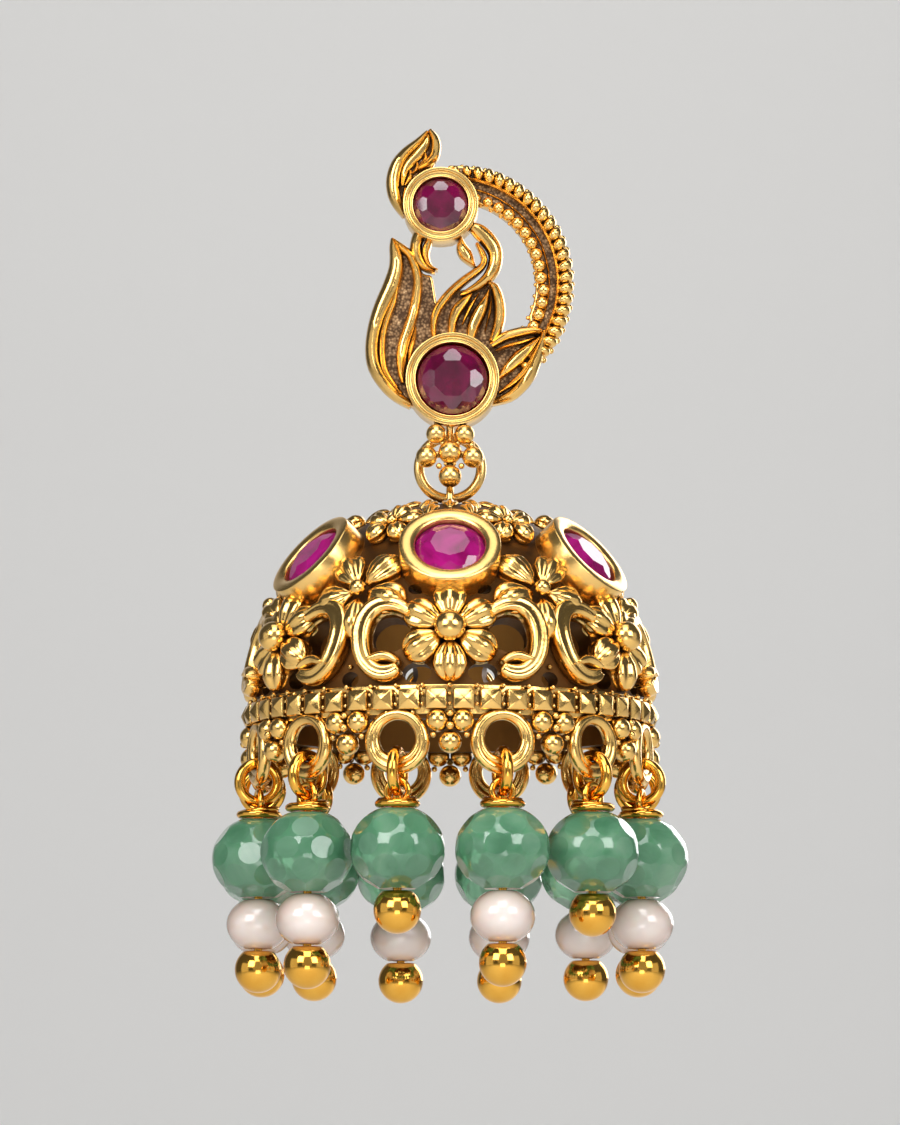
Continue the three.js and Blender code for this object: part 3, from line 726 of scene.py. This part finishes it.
LOTUS = (
    ((1.45, -5.87, 0.06), (1.01, -6.25, 0.22), (0.52, -6.8, 0.28), (0.22, -7.46, 0.25), (0.11, -8.22, 0.2),
     (0.1, -8.9, 0.16)),
    ((2.54, -5.59, 0.05), (2.27, -6.36, 0.22), (1.89, -7.13, 0.32), (1.5, -8.01, 0.3), (1.35, -8.8, 0.2)),
    ((2.54, -5.16, 0.1), (2.93, -5.37, 0.22), (3.2, -6.25, 0.26), (3.26, -7.24, 0.27), (3.09, -8.12, 0.25),
     (2.76, -8.99, 0.18)),
    ((1.89, -5.81, 0.05), (1.28, -6.8, 0.1), (0.79, -7.9, 0.06)),
    ((2.72, -6.0, 0.04), (2.62, -7.0, 0.08), (2.3, -8.3, 0.05)),
)
NECK = (
    ((1.5, -1.35, 0.3), (1.9, -1.6, 0.42), (2.38, -2.05, 0.45), (2.85, -2.7, 0.43), (3.0, -3.35, 0.39),
     (2.85, -4.1, 0.37), (2.45, -4.75, 0.32), (1.8, -5.3, 0.26), (1.1, -5.7, 0.18), (0.7, -5.9, 0.08)),
    ((1.75, -2.45, 0.1), (2.1, -3.0, 0.18), (2.25, -3.5, 0.19), (2.1, -3.95, 0.2), (1.6, -4.4, 0.23),
     (1.0, -4.83, 0.25), (0.13, -5.59, 0.26), (-0.53, -6.36, 0.26), (-0.91, -7.02, 0.25),
     (-1.07, -7.68, 0.22), (-1.08, -8.33, 0.18), (-1.0, -8.9, 0.14)),
    ((0.72, -2.1, 0.1), (0.78, -2.7, 0.32), (1.05, -3.2, 0.38), (1.4, -3.7, 0.22), (1.68, -4.05, 0.06)),
)
BEAK = (
    ((-1.95, -1.6, 0.32), (-2.15, -2.2, 0.34), (-2.25, -2.8, 0.32), (-2.1, -3.45, 0.3), (-1.66, -4.0, 0.22),
     (-0.98, -4.38, 0.07)),
    ((-1.3, -2.1, 0.2), (-1.5, -2.6, 0.24), (-1.6, -3.1, 0.22), (-1.48, -3.65, 0.18), (-1.2, -4.05, 0.12),
     (-0.8, -4.22, 0.05)),
)
SIDE_PETAL = (
    ((2.7, -9.25, 0.18), (3.53, -8.68, 0.24), (4.52, -8.36, 0.25), (5.39, -8.24, 0.22), (6.05, -8.32, 0.14)),
    ((3.1, -11.5, 0.1), (3.86, -10.66, 0.28), (4.6, -9.95, 0.34), (5.28, -9.32, 0.22), (5.9, -8.7, 0.06)),
    ((2.7, -13.05, 0.14), (3.86, -12.62, 0.24), (4.6, -12.0, 0.27), (5.15, -11.25, 0.29), (5.5, -10.5, 0.27),
     (5.83, -9.6, 0.25), (6.08, -8.8, 0.18), (6.14, -8.3, 0.1)),
    ((3.0, -9.6, 0.06), (3.86, -9.25, 0.1), (4.85, -9.0, 0.09), (5.6, -8.75, 0.04)),
    ((3.2, -12.4, 0.08), (4.25, -11.6, 0.14), (5.0, -10.75, 0.14), (5.68, -9.5, 0.06)),
)
FEATHER_GROUND = (
    (-3.85, -2.4), (-3.5, -4.4), (-4.5, -6.9), (-5.1, -9.2), (-4.6, -11.4), (-3.2, -12.9), (-1.6, -13.3),
    (2.6, -13.0), (4.6, -12.0), (5.5, -10.4), (6.05, -8.4), (4.4, -8.5), (3.35, -8.8), (3.25, -6.9),
    (2.7, -5.3), (1.3, -5.4), (0.1, -5.75), (-0.75, -6.5), (-1.0, -5.6), (-1.2, -4.6), (-1.75, -4.4),
    (-2.2, -3.6), (-2.9, -2.9),
)
CLUSTER = (
    (-0.9, -15.24, 0.66), (0.94, -15.27, 0.66), (0.0, -16.45, 0.77), (-1.52, -16.74, 0.71),
    (1.5, -16.76, 0.71), (0.0, -18.02, 0.75),
)
CLUSTER_GRAINS = (
    (-1.42, -15.98, 0.2), (1.42, -15.98, 0.2), (-0.52, -15.85, 0.16), (0.52, -15.85, 0.16),
    (-0.84, -16.52, 0.15), (0.84, -16.52, 0.15), (-0.72, -17.35, 0.2), (0.75, -17.35, 0.2),
    (-0.28, -17.2, 0.13), (0.28, -17.2, 0.13),
)


def on_crescent(radius, angle):
    angle = math.radians(angle)
    return CRESCENT["x"] + radius * math.cos(angle), CRESCENT["z"] + radius * math.sin(angle)


def crescent_plate():
    """The tail's tapering plate, with the thin ridge and the line that are raised on it."""
    steps = 40
    outer, inner, ridge, line = [], [], [], []
    for i in range(steps + 1):
        angle = CRESCENT["from"] + (CRESCENT["to"] - CRESCENT["from"]) * i / steps
        taper = min(max((-24 - angle) / 28, 0), 1)
        outer.append(on_crescent(CRESCENT["outer"] - 0.1, angle))
        inside = CRESCENT["inner"] + 0.1 + (TIP_RADIUS - CRESCENT["inner"]) * taper
        inner.insert(0, on_crescent(inside, angle))
        if RIDGE["to"] < angle < RIDGE["from"]:
            ridge.append((*on_crescent(RIDGE["radius"] + 0.12 * taper, angle), 0.15))
        if LINE["to"] < angle < LINE["from"]:
            line.append((*on_crescent(LINE["radius"], angle), 0.1))
    return [
        slab("crescent plate", outer + inner, GROUND, 0.15),
        band("crescent ridge", ridge, 1.75, sides=10),
        band("crescent line", line, 1.4, sides=8),
    ]


def rope_grains(grain):
    """The rope on the outer edge: leaning grains, and a small one behind each joint."""
    pieces = []
    for i in range(ROPE["count"]):
        angle = ROPE["from"] - ROPE["pace"] * i
        size = 0.3 + 0.15 * min(1, i / 3, (27 - i) / 6)
        x, y = on_crescent(ROPE["radius"], angle)
        lean = Matrix.Rotation(math.radians(angle + 24), 4, "Z")
        shape = Matrix.Diagonal((size * 1.28, size * 0.92, size * 1.5, 1))
        pieces.append(copied(grain, "rope grain", Matrix.Translation((x, y, 1.2)) @ lean @ shape))
        x, y = on_crescent(ROPE["behind"], angle - 2.8)
        place = Matrix.Translation((x, y, 0.75)) @ Matrix.Scale(size * 0.5, 4)
        pieces.append(copied(grain, "rope grain", place))
    return pieces


def row_balls(grain):
    """The row of balls on the inner edge, and a small grain beside each."""
    pieces = []
    for i in range(ROW["count"]):
        angle = ROW["from"] - ROW["pace"] * i
        size = 0.31 + 0.13 * min(1, i / 3, (16 - i) / 4)
        x, y = on_crescent(ROW["radius"] + 0.02 * i * (i > 9), angle)
        place = Matrix.Translation((x, y, 1.3)) @ Matrix.Scale(size, 4)
        pieces.append(copied(grain, "row ball", place))
        x, y = on_crescent(ROW["behind"], angle - 4)
        place = Matrix.Translation((x, y, 1.0)) @ Matrix.Scale(0.15, 4)
        pieces.append(copied(grain, "row grain", place))
    return pieces


def crescent():
    """The tail: a tapering plate with a rope of grains, a thin ridge, a sunk channel and a row of balls."""
    pieces = crescent_plate()
    grain = ball("rope grain", 1, segments=20, rings=12)
    pieces += rope_grains(grain)
    pieces += row_balls(grain)
    thrown_away(grain)
    return pieces


def ear_casting():
    pieces = crescent()
    pieces.append(slab("crest ground", closed_run(CREST_GROUND, 3), GROUND))
    pieces.append(slab("feather ground", closed_run(FEATHER_GROUND, 3), GROUND))
    raised = [(rows, STROKE_RISE, 1.25) for rows in (*CREST, *NECK, *BEAK)]
    raised += [(rows, STROKE_RISE, 1.5) for rows in (*LOTUS, *SIDE_PETAL)]
    raised += [(rows, 1.65, 1.3) for rows in CREST_VEINS]
    raised += [(FLAME_EDGE, 2.0, 1.25), (FLAME_LINE, 1.75, 1.25)]
    raised += [(FLAME_INNER, 1.85, 1.3), (FLAME_THREAD, 1.55, 1.3)]
    for rows, rise, widen in raised:
        pieces.append(band("stroke", through(rows, 3), rise, widen=widen))
    casting = joined("peacock_casting", pieces)
    outward(casting)
    pierce_for_cups(casting)
    placed(casting, FACE_FRONT)
    finished(casting, "ear_top", CAST_GOLD, 50, ("ear_top",))
    casting.data.materials.append(STIPPLED)
    for face in casting.data.polygons:
        if face.normal.y < -0.95 and abs(face.center.y + GROUND * MM) < 0.05 * MM:
            face.material_index = 1


def pierce_for_cups(casting):
    """Leaves the middle of each cup free, so that no stroke runs over a stone."""
    for spec in (UPPER_BEZEL, LOWER_BEZEL):
        plug = cylinder("cup room", spec["radius"] - 0.12, 12, 48)
        placed(plug, Matrix.Translation((spec["x"], spec["z"], 0)))
        treated(casting, "BOOLEAN", operation="DIFFERENCE", object=plug, solver="FAST")
        thrown_away(plug)


def ear_cups():
    pieces = []
    for spec in (UPPER_BEZEL, LOWER_BEZEL):
        piece = cup("ear cup", spec, EAR_CUP_STEPS)
        pieces.append(placed(piece, FACE_FRONT @ Matrix.Translation((spec["x"], spec["z"], 0))))
    return finished(joined("ear_cups", pieces), "ear_top", SATIN_GOLD, 40)


def ball_cluster():
    """Solder balls under the lower cup, with grains at their joints and stems behind them."""
    pieces = []
    for x, z, radius in (*CLUSTER, *CLUSTER_GRAINS):
        pieces.append(ball("solder ball", radius, (x, BALL_Y, z), 32, 20))
    hub = (CLUSTER[2][0], BALL_Y + 0.2, CLUSTER[2][1])
    for x, z, _ in (*CLUSTER[:2], *CLUSTER[3:]):
        pieces.append(rod("stem", (hub, (x, BALL_Y + 0.2, z)), 0.2))
    for x, z, _ in CLUSTER[:2]:
        pieces.append(rod("stem", ((x, BALL_Y, z), (x * 0.8, BALL_Y + 0.5, LOWER_BEZEL["z"] - 2.4)), 0.26))
    cluster = joined("ball_cluster", pieces)
    return finished(cluster, "ear_top", SATIN_GOLD, 60)


def staple(name, bend, legs):
    """A wire staple round the link ring, from half a hoop whose ends are drawn out to its legs."""
    piece = hoop(name, STAPLE_RADIUS, STAPLE_WIRE, 32, 12)
    keep_below = legs > bend
    work_on(piece)
    turn(math.pi / 2, "Y")
    ground_off((0, 0, 0), (0, 0, 1 if keep_below else -1))
    choose(piece, "FACE", lambda end: abs(end.normal.z) > 0.95 and abs(end.calc_center_median().z) < 0.01)
    bpy.ops.mesh.extrude_region_move(TRANSFORM_OT_translate={"value": (0, 0, legs - bend)})
    put_down()
    outward(piece)
    return placed(piece, HANG @ Matrix.Translation((0, 0, bend)))


def bail_and_post():
    """The hidden wire that the link ring hangs in, and the plain ear post."""
    bail = staple("bail", RING["z"] + RING["radius"], LOWER_BEZEL["z"] - 2.5)
    post = cylinder("post", POST["radius"], POST["length"] + POST["root"], 32)
    work_on(post)
    choose(post, "FACE", lambda face: face.normal.z > 0.9)
    bpy.ops.mesh.inset(thickness=0.16, depth=0)
    put_down()
    rounded(post, 0.12, 3, 40)
    middle = (POST["length"] - POST["root"]) / 2
    placed(post, Matrix.Translation((0, middle, 0)) @ Matrix.Rotation(-math.pi / 2, 4, "X"))
    return finished(joined("bail_and_post", [bail, post]), "ear_top", SATIN_GOLD, 50)


def link_ring():
    ring = hoop("round_link", RING["radius"], RING["wire"], 72, 20)
    placed(ring, HANG @ Matrix.Translation((0, 0, RING["z"])) @ FACE_FRONT)
    return finished(ring, "link_ring", SATIN_GOLD, 60, ("link_ring",))


# Bell

# The azimuths of the big flowers and of the places between them
AROUND = [k * SECTOR for k in range(SECTORS)]
BETWEEN = [azimuth + SECTOR / 2 for azimuth in AROUND]

# Openings of one sixth: azimuth from the big flower, height, half width, half height
OPENINGS = (
    (18.3, -29.5, 1.35, 1.2), (-18.3, -29.5, 1.35, 1.2),
    (9.5, -32.0, 0.95, 0.65), (-9.5, -32.0, 0.95, 0.65),
    (30, -28.9, 0.4, 0.5), (30, -32.3, 0.6, 0.5), (11, -26.45, 0.6, 0.45), (-11, -26.45, 0.6, 0.45),
)
SCROLL = (
    (2.35, 1.0, 0.36), (3.2, 1.6, 0.46), (4.2, 1.7, 0.52), (5.0, 1.2, 0.55), (5.5, 0.2, 0.58),
    (5.55, -0.9, 0.58), (5.25, -1.95, 0.54), (4.5, -2.65, 0.5), (3.65, -2.7, 0.46), (3.1, -2.4, 0.32),
)
SCROLL_SPOON = (
    (5.05, -1.95, 0.12), (4.6, -1.85, 0.3), (4.1, -1.72, 0.36), (3.55, -1.85, 0.34), (3.1, -2.2, 0.2),
)
# Solder grains of one sixth: degrees from the big flower, and height
BELL_GRAINS = ((9, -32.95), (21, -32.95), (30, -31.5), (30, -24.5), (16, -26.9), (24, -25.0))
# Crown leaves: first azimuth, height and lift of each ring
LEAF_RINGS = ((15, -21.2, 0.1), (0, -20.35, -0.02))
STUD_GRAINS = (
    (0.13, (0.83, 0.32, 0.3)), (0.13, (0.83, -0.32, 0.3)), (0.17, (0.83, 0.86, 0.18)),
    (0.15, (0.2, -0.84, 0.16)),
)
TRIO_BALLS = ((0.75, (-0.78, 0.35, 0.05)), (0.75, (0.78, 0.35, 0.05)), (0.74, (0, -1.0, 0.05)))
TRIO_GRAINS = (
    (0.26, (0, -0.02, 0.55)), (0.22, (0, 0.75, 0.5)), (0.2, (-1.05, -0.55, 0.1)), (0.2, (1.05, -0.55, 0.1)),
)


def drill_holes(wall):
    """Cuts the openings of all six sectors and the groove under the arch."""
    plugs = []
    drill = cylinder("drill", 1, 5, 20)
    for sector in range(SECTORS):
        for azimuth, height, wide, tall in OPENINGS:
            place = bell_frame(sector * SECTOR + azimuth, height) @ Matrix.Diagonal((wide, tall, 1, 1))
            plugs.append(copied(drill, "drill", place))
    crown = Matrix.Translation((0, HANG_Y, RING["z"] - RING["radius"]))
    groove = crown @ Matrix.Rotation(math.pi / 2, 4, "Y")
    plugs.append(copied(drill, "drill", groove @ Matrix.Diagonal((0.56, 0.56, 0.52, 1))))
    cutter = joined("drills", plugs)
    treated(wall, "BOOLEAN", operation="DIFFERENCE", object=cutter, solver="EXACT")
    thrown_away(cutter, drill)


def bell_wall():
    """The pierced wall: half a ball stretched tall, its rim drawn down, walled inwards and cut through."""
    wall = ball("pierced_wall", BELL_RADIUS, segments=120, rings=64)
    work_on(wall)
    stretch((1, 1, BELL_HEIGHT / BELL_RADIUS))
    shift((0, HANG_Y, BELL_BASE))
    bpy.ops.mesh.bisect(
        plane_co=(0, 0, BELL_BASE + 0.02), plane_no=(0, 0, 1), clear_inner=True, use_fill=False
    )
    choose(wall, "EDGE", lambda edge: edge.is_boundary)
    bpy.ops.mesh.extrude_edges_move(TRANSFORM_OT_translate={"value": (0, 0, BELL_RIM - BELL_BASE - 0.02)})
    put_down()
    outward(wall)
    treated(wall, "SOLIDIFY", thickness=BELL_WALL, offset=-1)
    drill_holes(wall)
    return wall


def flower(name, petals, length, width, height, heart, ribs=3):
    """A flat flower: one petal copied round, and a ball for its heart where it has one."""
    petal = ribbed_petal("petal", length, width, height, ribs)
    pieces = []
    for k in range(petals):
        place = Matrix.Rotation(TAU * k / petals, 4, "Z") @ Matrix.Translation((0, 0.18 * length, 0.35))
        pieces.append(copied(petal, "petal", place @ Matrix.Rotation(math.radians(-7), 4, "X")))
    if heart:
        pieces.append(ball("heart", heart, (0, 0, 0.55 * height + 0.45 * heart), 28, 18))
    thrown_away(petal)
    return joined(name, pieces)


def scroll():
    """A C-scroll with two ridges and a spoon-shaped foot."""
    made = joined("scroll", [
        band("scroll", through(SCROLL, 3), 1.3, foot=0.4, groove=0.5, widen=1.2),
        band("spoon", through(SCROLL_SPOON, 3), 1.25, foot=0.4, widen=1.15),
    ])
    outward(made)
    return smoothed(made)


def stud():
    """A square stud with a pyramid top, and the grains in the slot beside it."""
    piece = started(bpy.ops.mesh.primitive_cube_add, "stud", size=1)
    work_on(piece)
    stretch((1.34, 1.3, 0.8))
    shift((0, 0, 0.05))
    choose(piece, "FACE", lambda face: face.normal.z > 0.9)
    bpy.ops.mesh.inset(thickness=0.09, depth=0.07)
    bpy.ops.mesh.extrude_region_move(TRANSFORM_OT_translate={"value": (0, 0, 0.28)})
    bpy.ops.mesh.merge(type="CENTER")
    put_down()
    rounded(piece, 0.05, 1, 20)
    grains = [ball("stud grain", radius, place, 10, 6) for radius, place in STUD_GRAINS]
    return joined("stud", [piece, *grains])


def studded_band():
    band_wall = cylinder("band", BELL_RADIUS + 0.1, 1.9, 144, end_fill_type="NOTHING")
    placed(band_wall, HANG @ Matrix.Translation((0, 0, STUD_Z)))
    treated(band_wall, "SOLIDIFY", thickness=0.7, offset=-1)
    rounded(band_wall, 0.1, 2)
    one = stud()
    pieces = [band_wall]
    for i in range(STUDS):
        place = round_bell(360 / STUDS * (i + 0.5), BELL_RADIUS + 0.12, STUD_Z)
        pieces.append(copied(one, "stud", place))
    thrown_away(one)
    return joined("studded_band", pieces)


def rim_rings():
    """Twelve rings of two ridges each, with the hole a little above the middle."""
    ridges = []
    for middle, wire, rise in RIM_RIDGES:
        ridge = hoop("rim ridge", middle, wire, 64, 18)
        ridges.append(placed(ridge, Matrix.Translation((0, rise, 0)) @ Matrix.Diagonal((1, 1, 1.1, 1))))
    ring = joined("rim ring", ridges)
    pieces = []
    for i in range(DROPS):
        azimuth = (i + 0.5) * DROP_TURN
        pieces.append(copied(ring, "rim ring", round_bell(azimuth, RIM_RADIUS, RIM_RING_Z)))
    thrown_away(ring)
    return joined("rim rings", pieces)


def ball_trios():
    """Three balls between each pair of rim rings, with a grain in their middle."""
    pieces = [ball("trio ball", radius, place, 24, 16) for radius, place in TRIO_BALLS]
    pieces += [ball("trio grain", radius, place, 12, 8) for radius, place in TRIO_GRAINS]
    trio = joined("trio", pieces)
    copies = []
    for i in range(DROPS):
        copies.append(copied(trio, "trio", round_bell(i * DROP_TURN, RIM_RADIUS + 0.1, TRIO_Z)))
    thrown_away(trio)
    return joined("ball trios", copies)


def copied_round(name, pattern, azimuths, height, **bend):
    """Copies of one pattern, bent onto the bell at this height, one at each azimuth."""
    pieces = []
    for azimuth in azimuths:
        pieces.append(on_bell(copied(pattern, name), azimuth, height, **bend))
    return joined(name, pieces)


def bell_flowers():
    """The flowers of the dome, each kind modelled once and copied round."""
    big = flower("big flower", 6, 2.8, 2.45, 1.05, 0.92)
    side = flower("side flower", 5, 2.8, 2.6, 1.05, 0.5)
    small = flower("small flower", 5, 1.7, 1.5, 0.75, 0.34, 2)
    made = [
        copied_round("big_flowers", big, AROUND, BIG_FLOWER_Z, lift=0.1),
        copied_round("side_flowers", side, BETWEEN, SIDE_FLOWER_Z, spin=180, lift=0.1),
        copied_round("small_flowers", small, BETWEEN, TOP_FLOWER_Z, lift=0.15),
    ]
    thrown_away(big, side, small)
    return made


def scrolls_and_leaves():
    curl = scroll()
    leaf = ribbed_petal("leaf", 1.9, 1.25, 0.42, 3, 0.8)
    grain = ball("grain", 0.17, segments=10, rings=6)
    pieces = [
        copied_round("scroll", curl, AROUND, BIG_FLOWER_Z),
        copied_round("scroll", curl, AROUND, BIG_FLOWER_Z, mirrored=True),
    ]
    for first, height, lift in LEAF_RINGS:
        ring = [30 * k + first for k in range(12)]
        pieces.append(copied_round("leaf", leaf, ring, height, lift=lift))
    for step, height in BELL_GRAINS:
        for way in (-step, step):
            ring = [azimuth + way for azimuth in AROUND]
            pieces.append(copied_round("grain", grain, ring, height, lift=0.08))
    thrown_away(curl, leaf, grain)
    return joined("scrolls_and_leaves", pieces)


def bell_cups():
    one = cup("bell cup", BELL_BEZEL, BELL_CUP_STEPS)
    pieces = []
    for sector in range(SECTORS):
        place = bell_frame(sector * SECTOR, BELL_BEZEL["z"], -BELL_BEZEL["sink"])
        pieces.append(copied(one, "bell cup", place))
    thrown_away(one)
    return joined("bell_cups", pieces)


def darkened_inside(wall):
    """The faces that look in at the hanging line get a darker gold: painted shade inside the bell."""
    wall.data.materials.append(SHADED_GOLD)
    for face in wall.data.polygons:
        away = Vector((face.center.x, face.center.y - HANG_Y * MM, face.center.z - BELL_BASE * MM))
        if face.normal.dot(away.normalized()) < -0.3:
            face.material_index = 1


def bell():
    # The outer wall is painted near-black for the shade between the ornaments, and its inside darker gold
    # for the shade inside the bell.
    wall = finished(bell_wall(), "bell", WALL_SHADE_GOLD, 30, ("bell",))
    darkened_inside(wall)
    for piece in (*bell_flowers(), scrolls_and_leaves()):
        finished(piece, "bell", CAST_GOLD, 60)
    finished(studded_band(), "bell", CAST_GOLD, 25)
    rim = joined("rim_rings_and_trios", [rim_rings(), ball_trios()])
    finished(rim, "bell", CAST_GOLD, 60)
    finished(bell_cups(), "bell", SATIN_GOLD, 40)
    arch = staple("bell_arch", RING["z"] - RING["radius"], BELL_BASE + BELL_HEIGHT - 0.6)
    finished(arch, "bell", SATIN_GOLD, 50)
    bell_stones()


def bell_stones():
    stone = cut_stone("bell stone", BELL_BEZEL["stone"] + 0.04, 1.15)
    lift = BELL_BEZEL["height"] - BELL_BEZEL["sink"] - 0.45
    for sector in range(SECTORS):
        place = bell_frame(sector * SECTOR, BELL_BEZEL["z"], lift)
        piece = copied(stone, f"magenta_stone_{sector + 1}", place)
        finished(piece, "bell", MAGENTA, 5, (f"bell_stone_{sector + 1}",))
    thrown_away(stone)


# Drops, each modelled on the Z axis and then hung at its place round the rim


def jump_ring():
    piece = hoop("wire ring", JUMP_RADIUS, JUMP_WIRE, 64, 16)
    return placed(piece, Matrix.Translation((0, 0, JUMP_Z)) @ Matrix.Rotation(math.pi / 2, 4, "Y"))


def drop_pin(ball_centre):
    """Eye, two turns of coil, shaft and end ball of one drop."""
    eye = hoop("eye", 0.7, 0.2, 36, 12)
    placed(eye, Matrix.Translation((0, 0, JUMP_Z - JUMP_RADIUS)) @ FACE_FRONT)
    lower = hoop("lower turn", 1.2, 0.235, 48, 12)
    placed(lower, Matrix.Translation((0, 0, COIL_FOOT + 0.2)))
    upper = hoop("upper turn", 1.12, 0.18, 48, 12)
    placed(upper, Matrix.Translation((0, 0.04, COIL_TOP - 0.02)) @ Matrix.Rotation(math.radians(7), 4, "X"))
    primitive = bpy.ops.mesh.primitive_cone_add
    core = started(primitive, "core", vertices=24, radius1=1.0, radius2=0.45, depth=0.55)
    placed(core, Matrix.Translation((0, 0, (COIL_TOP + COIL_FOOT) / 2)))
    shaft = rod("shaft", ((0, 0, COIL_TOP + 0.2), (0, 0, ball_centre)), 0.28)
    end = ball("end ball", END_BALL["radius"], segments=48, rings=32)
    work_on(end)
    ground_off((0, 0, END_BALL["neck"]), (0, 0, 1))
    put_down()
    rounded(end, 0.06, 2, 30)
    placed(end, Matrix.Translation((0, 0, ball_centre)))
    return joined("headpin", [end, eye, lower, upper, core, shaft])


def bored(piece, half):
    """Grinds both ends flat and drills the piece through."""
    work_on(piece)
    for way in (1, -1):
        ground_off((0, 0, way * half), (0, 0, way))
    put_down()
    drill = cylinder("bead drill", BORE, 8, 24)
    treated(piece, "BOOLEAN", operation="DIFFERENCE", object=drill, solver="EXACT")
    thrown_away(drill)
    return piece


# Facet rows of a bead: slope in degrees, turn in facets and how deep each is ground
BEAD_FACETS = ((36, 0.25, 0.958), (4, 0.75, 0.966), (-28, 0.25, 0.962), (-58, 0.75, 0.965))


def faceted_bead():
    """A round bead ground with four rows of eight facets."""
    radius, tall = BEAD["radius"], BEAD["round"]
    piece = ball("green bead", 1, segments=60, rings=36)
    work_on(piece)
    stretch((radius, radius, tall))
    for level, offset, depth in BEAD_FACETS:
        slope = math.radians(level)
        aside = math.cos(slope)
        reach = math.hypot(radius * aside, tall * math.sin(slope)) * depth
        for k in range(8):
            way = TAU * (k + offset) / 8
            normal = Vector((aside * math.cos(way), aside * math.sin(way), math.sin(slope)))
            ground_off(normal * reach, normal, 1e-5)
    put_down()
    return bored(piece, BEAD["half"])


def pearl():
    piece = ball("pearl", 1, segments=56, rings=36)
    work_on(piece)
    stretch((PEARL["radius"], PEARL["radius"], PEARL["round"]))
    put_down()
    bored(piece, PEARL["half"])
    return rounded(piece, 0.06, 2, 40)


def hung(pattern, name, place, finish, angle, node_name):
    """A copy of one part of a drop, put in its place, finished and hung on the bell."""
    finished(copied(pattern, name, place), "bell", finish, angle, (node_name,))


def drops():
    """Twelve drops of ring, headpin and bead, with a pearl on all but the two short ones."""
    wire = jump_ring()
    long_pin = drop_pin(LONG_BALL_Z)
    short_pin = drop_pin(SHORT_BALL_Z)
    bead = faceted_bead()
    white = pearl()
    chance = random.Random(7)
    for i in range(DROPS):
        number = f"{i + 1:02d}"
        short = i in SHORT_DROPS
        pin = short_pin if short else long_pin
        azimuth = math.radians((i + 0.5) * DROP_TURN - 180)
        place = HANG @ Matrix.Rotation(azimuth, 4, "Z") @ Matrix.Translation((0, -RIM_RADIUS, 0))
        hung(wire, f"wire_ring_{number}", place, BRIGHT_GOLD, 50, f"jump_ring_{number}")
        hung(pin, f"headpin_{number}", place, BRIGHT_GOLD, 50, f"drop_pin_{number}")
        spin = Matrix.Rotation(chance.uniform(-0.25, 0.25), 4, "Z")
        turned = place @ Matrix.Translation((0, 0, BEAD_Z)) @ spin
        hung(bead, f"cut_bead_{number}", turned, GREEN, 11, f"green_bead_{number}")
        if not short:
            spin = Matrix.Rotation(chance.uniform(0, TAU), 4, "Z")
            turned = place @ Matrix.Translation((0, 0, PEARL_Z)) @ spin
            hung(white, f"round_pearl_{number}", turned, NACRE, 50, f"pearl_{number}")
    thrown_away(wire, long_pin, short_pin, bead, white)


# Floor, light and camera


def paper_floor():
    """A pale paper floor that rises behind the piece in a soft bend."""
    floor = started(bpy.ops.mesh.primitive_plane_add, "pale_floor", size=2.4, location=(0, 0, 0))
    placed(floor, Matrix.Translation((0, 0, FLOOR_Z)))
    work_on(floor)
    choose(floor, "EDGE", lambda edge: all(corner.co.y > 1 for corner in edge.verts))
    bpy.ops.mesh.extrude_region_move(TRANSFORM_OT_translate={"value": (0, 0, 1.6)})
    put_down()
    rounded(floor, 0.4, 8)
    hold(floor)
    bpy.ops.object.shade_smooth()
    paper, _, _ = new_finish("pale paper", Base_Color=(0.82, 0.81, 0.79, 1), Roughness=0.9)
    floor.data.materials.append(paper)


def room_light():
    world = bpy.data.worlds.new("room")
    bpy.context.scene.world = world
    world.use_nodes = True
    background = world.node_tree.nodes["Background"]
    background.inputs["Color"].default_value = ROOM_LIGHT["colour"]
    background.inputs["Strength"].default_value = ROOM_LIGHT["strength"]
    bpy.context.scene.view_settings.view_transform = "Standard"


def lamps():
    for name, place, size, power, aim in LAMPS:
        let_go()
        bpy.ops.object.light_add(type="AREA", location=place)
        lamp = bpy.context.object
        lamp.name = name + "_light"
        lamp.data.size = size
        lamp.data.energy = power
        lamp.rotation_euler = (aim - Vector(place)).to_track_quat("-Z", "Y").to_euler()


def camera():
    """A long lens that looks up at the piece a little, as in the photograph."""
    distance, tilt = CAMERA["distance"], math.radians(CAMERA["tilt"])
    bpy.ops.object.camera_add(
        location=MIDDLE + Vector((0, -distance * math.cos(tilt), distance * math.sin(tilt))),
        rotation=(math.pi / 2 - tilt, 0, 0),
    )
    made = bpy.context.object
    made.data.sensor_fit = "VERTICAL"
    made.data.sensor_height = CAMERA["sensor"]
    made.data.lens = CAMERA["sensor"] * distance / CAMERA["view_height"]
    bpy.context.scene.camera = made


paper_floor()
room_light()
lamps()
camera()
ear_casting()
ear_cups()
ear_stone("wine_stone_upper", UPPER_BEZEL, "ear_stone_upper")
ear_stone("wine_stone_lower", LOWER_BEZEL, "ear_stone_lower")
ball_cluster()
bail_and_post()
link_ring()
bell()
drops()
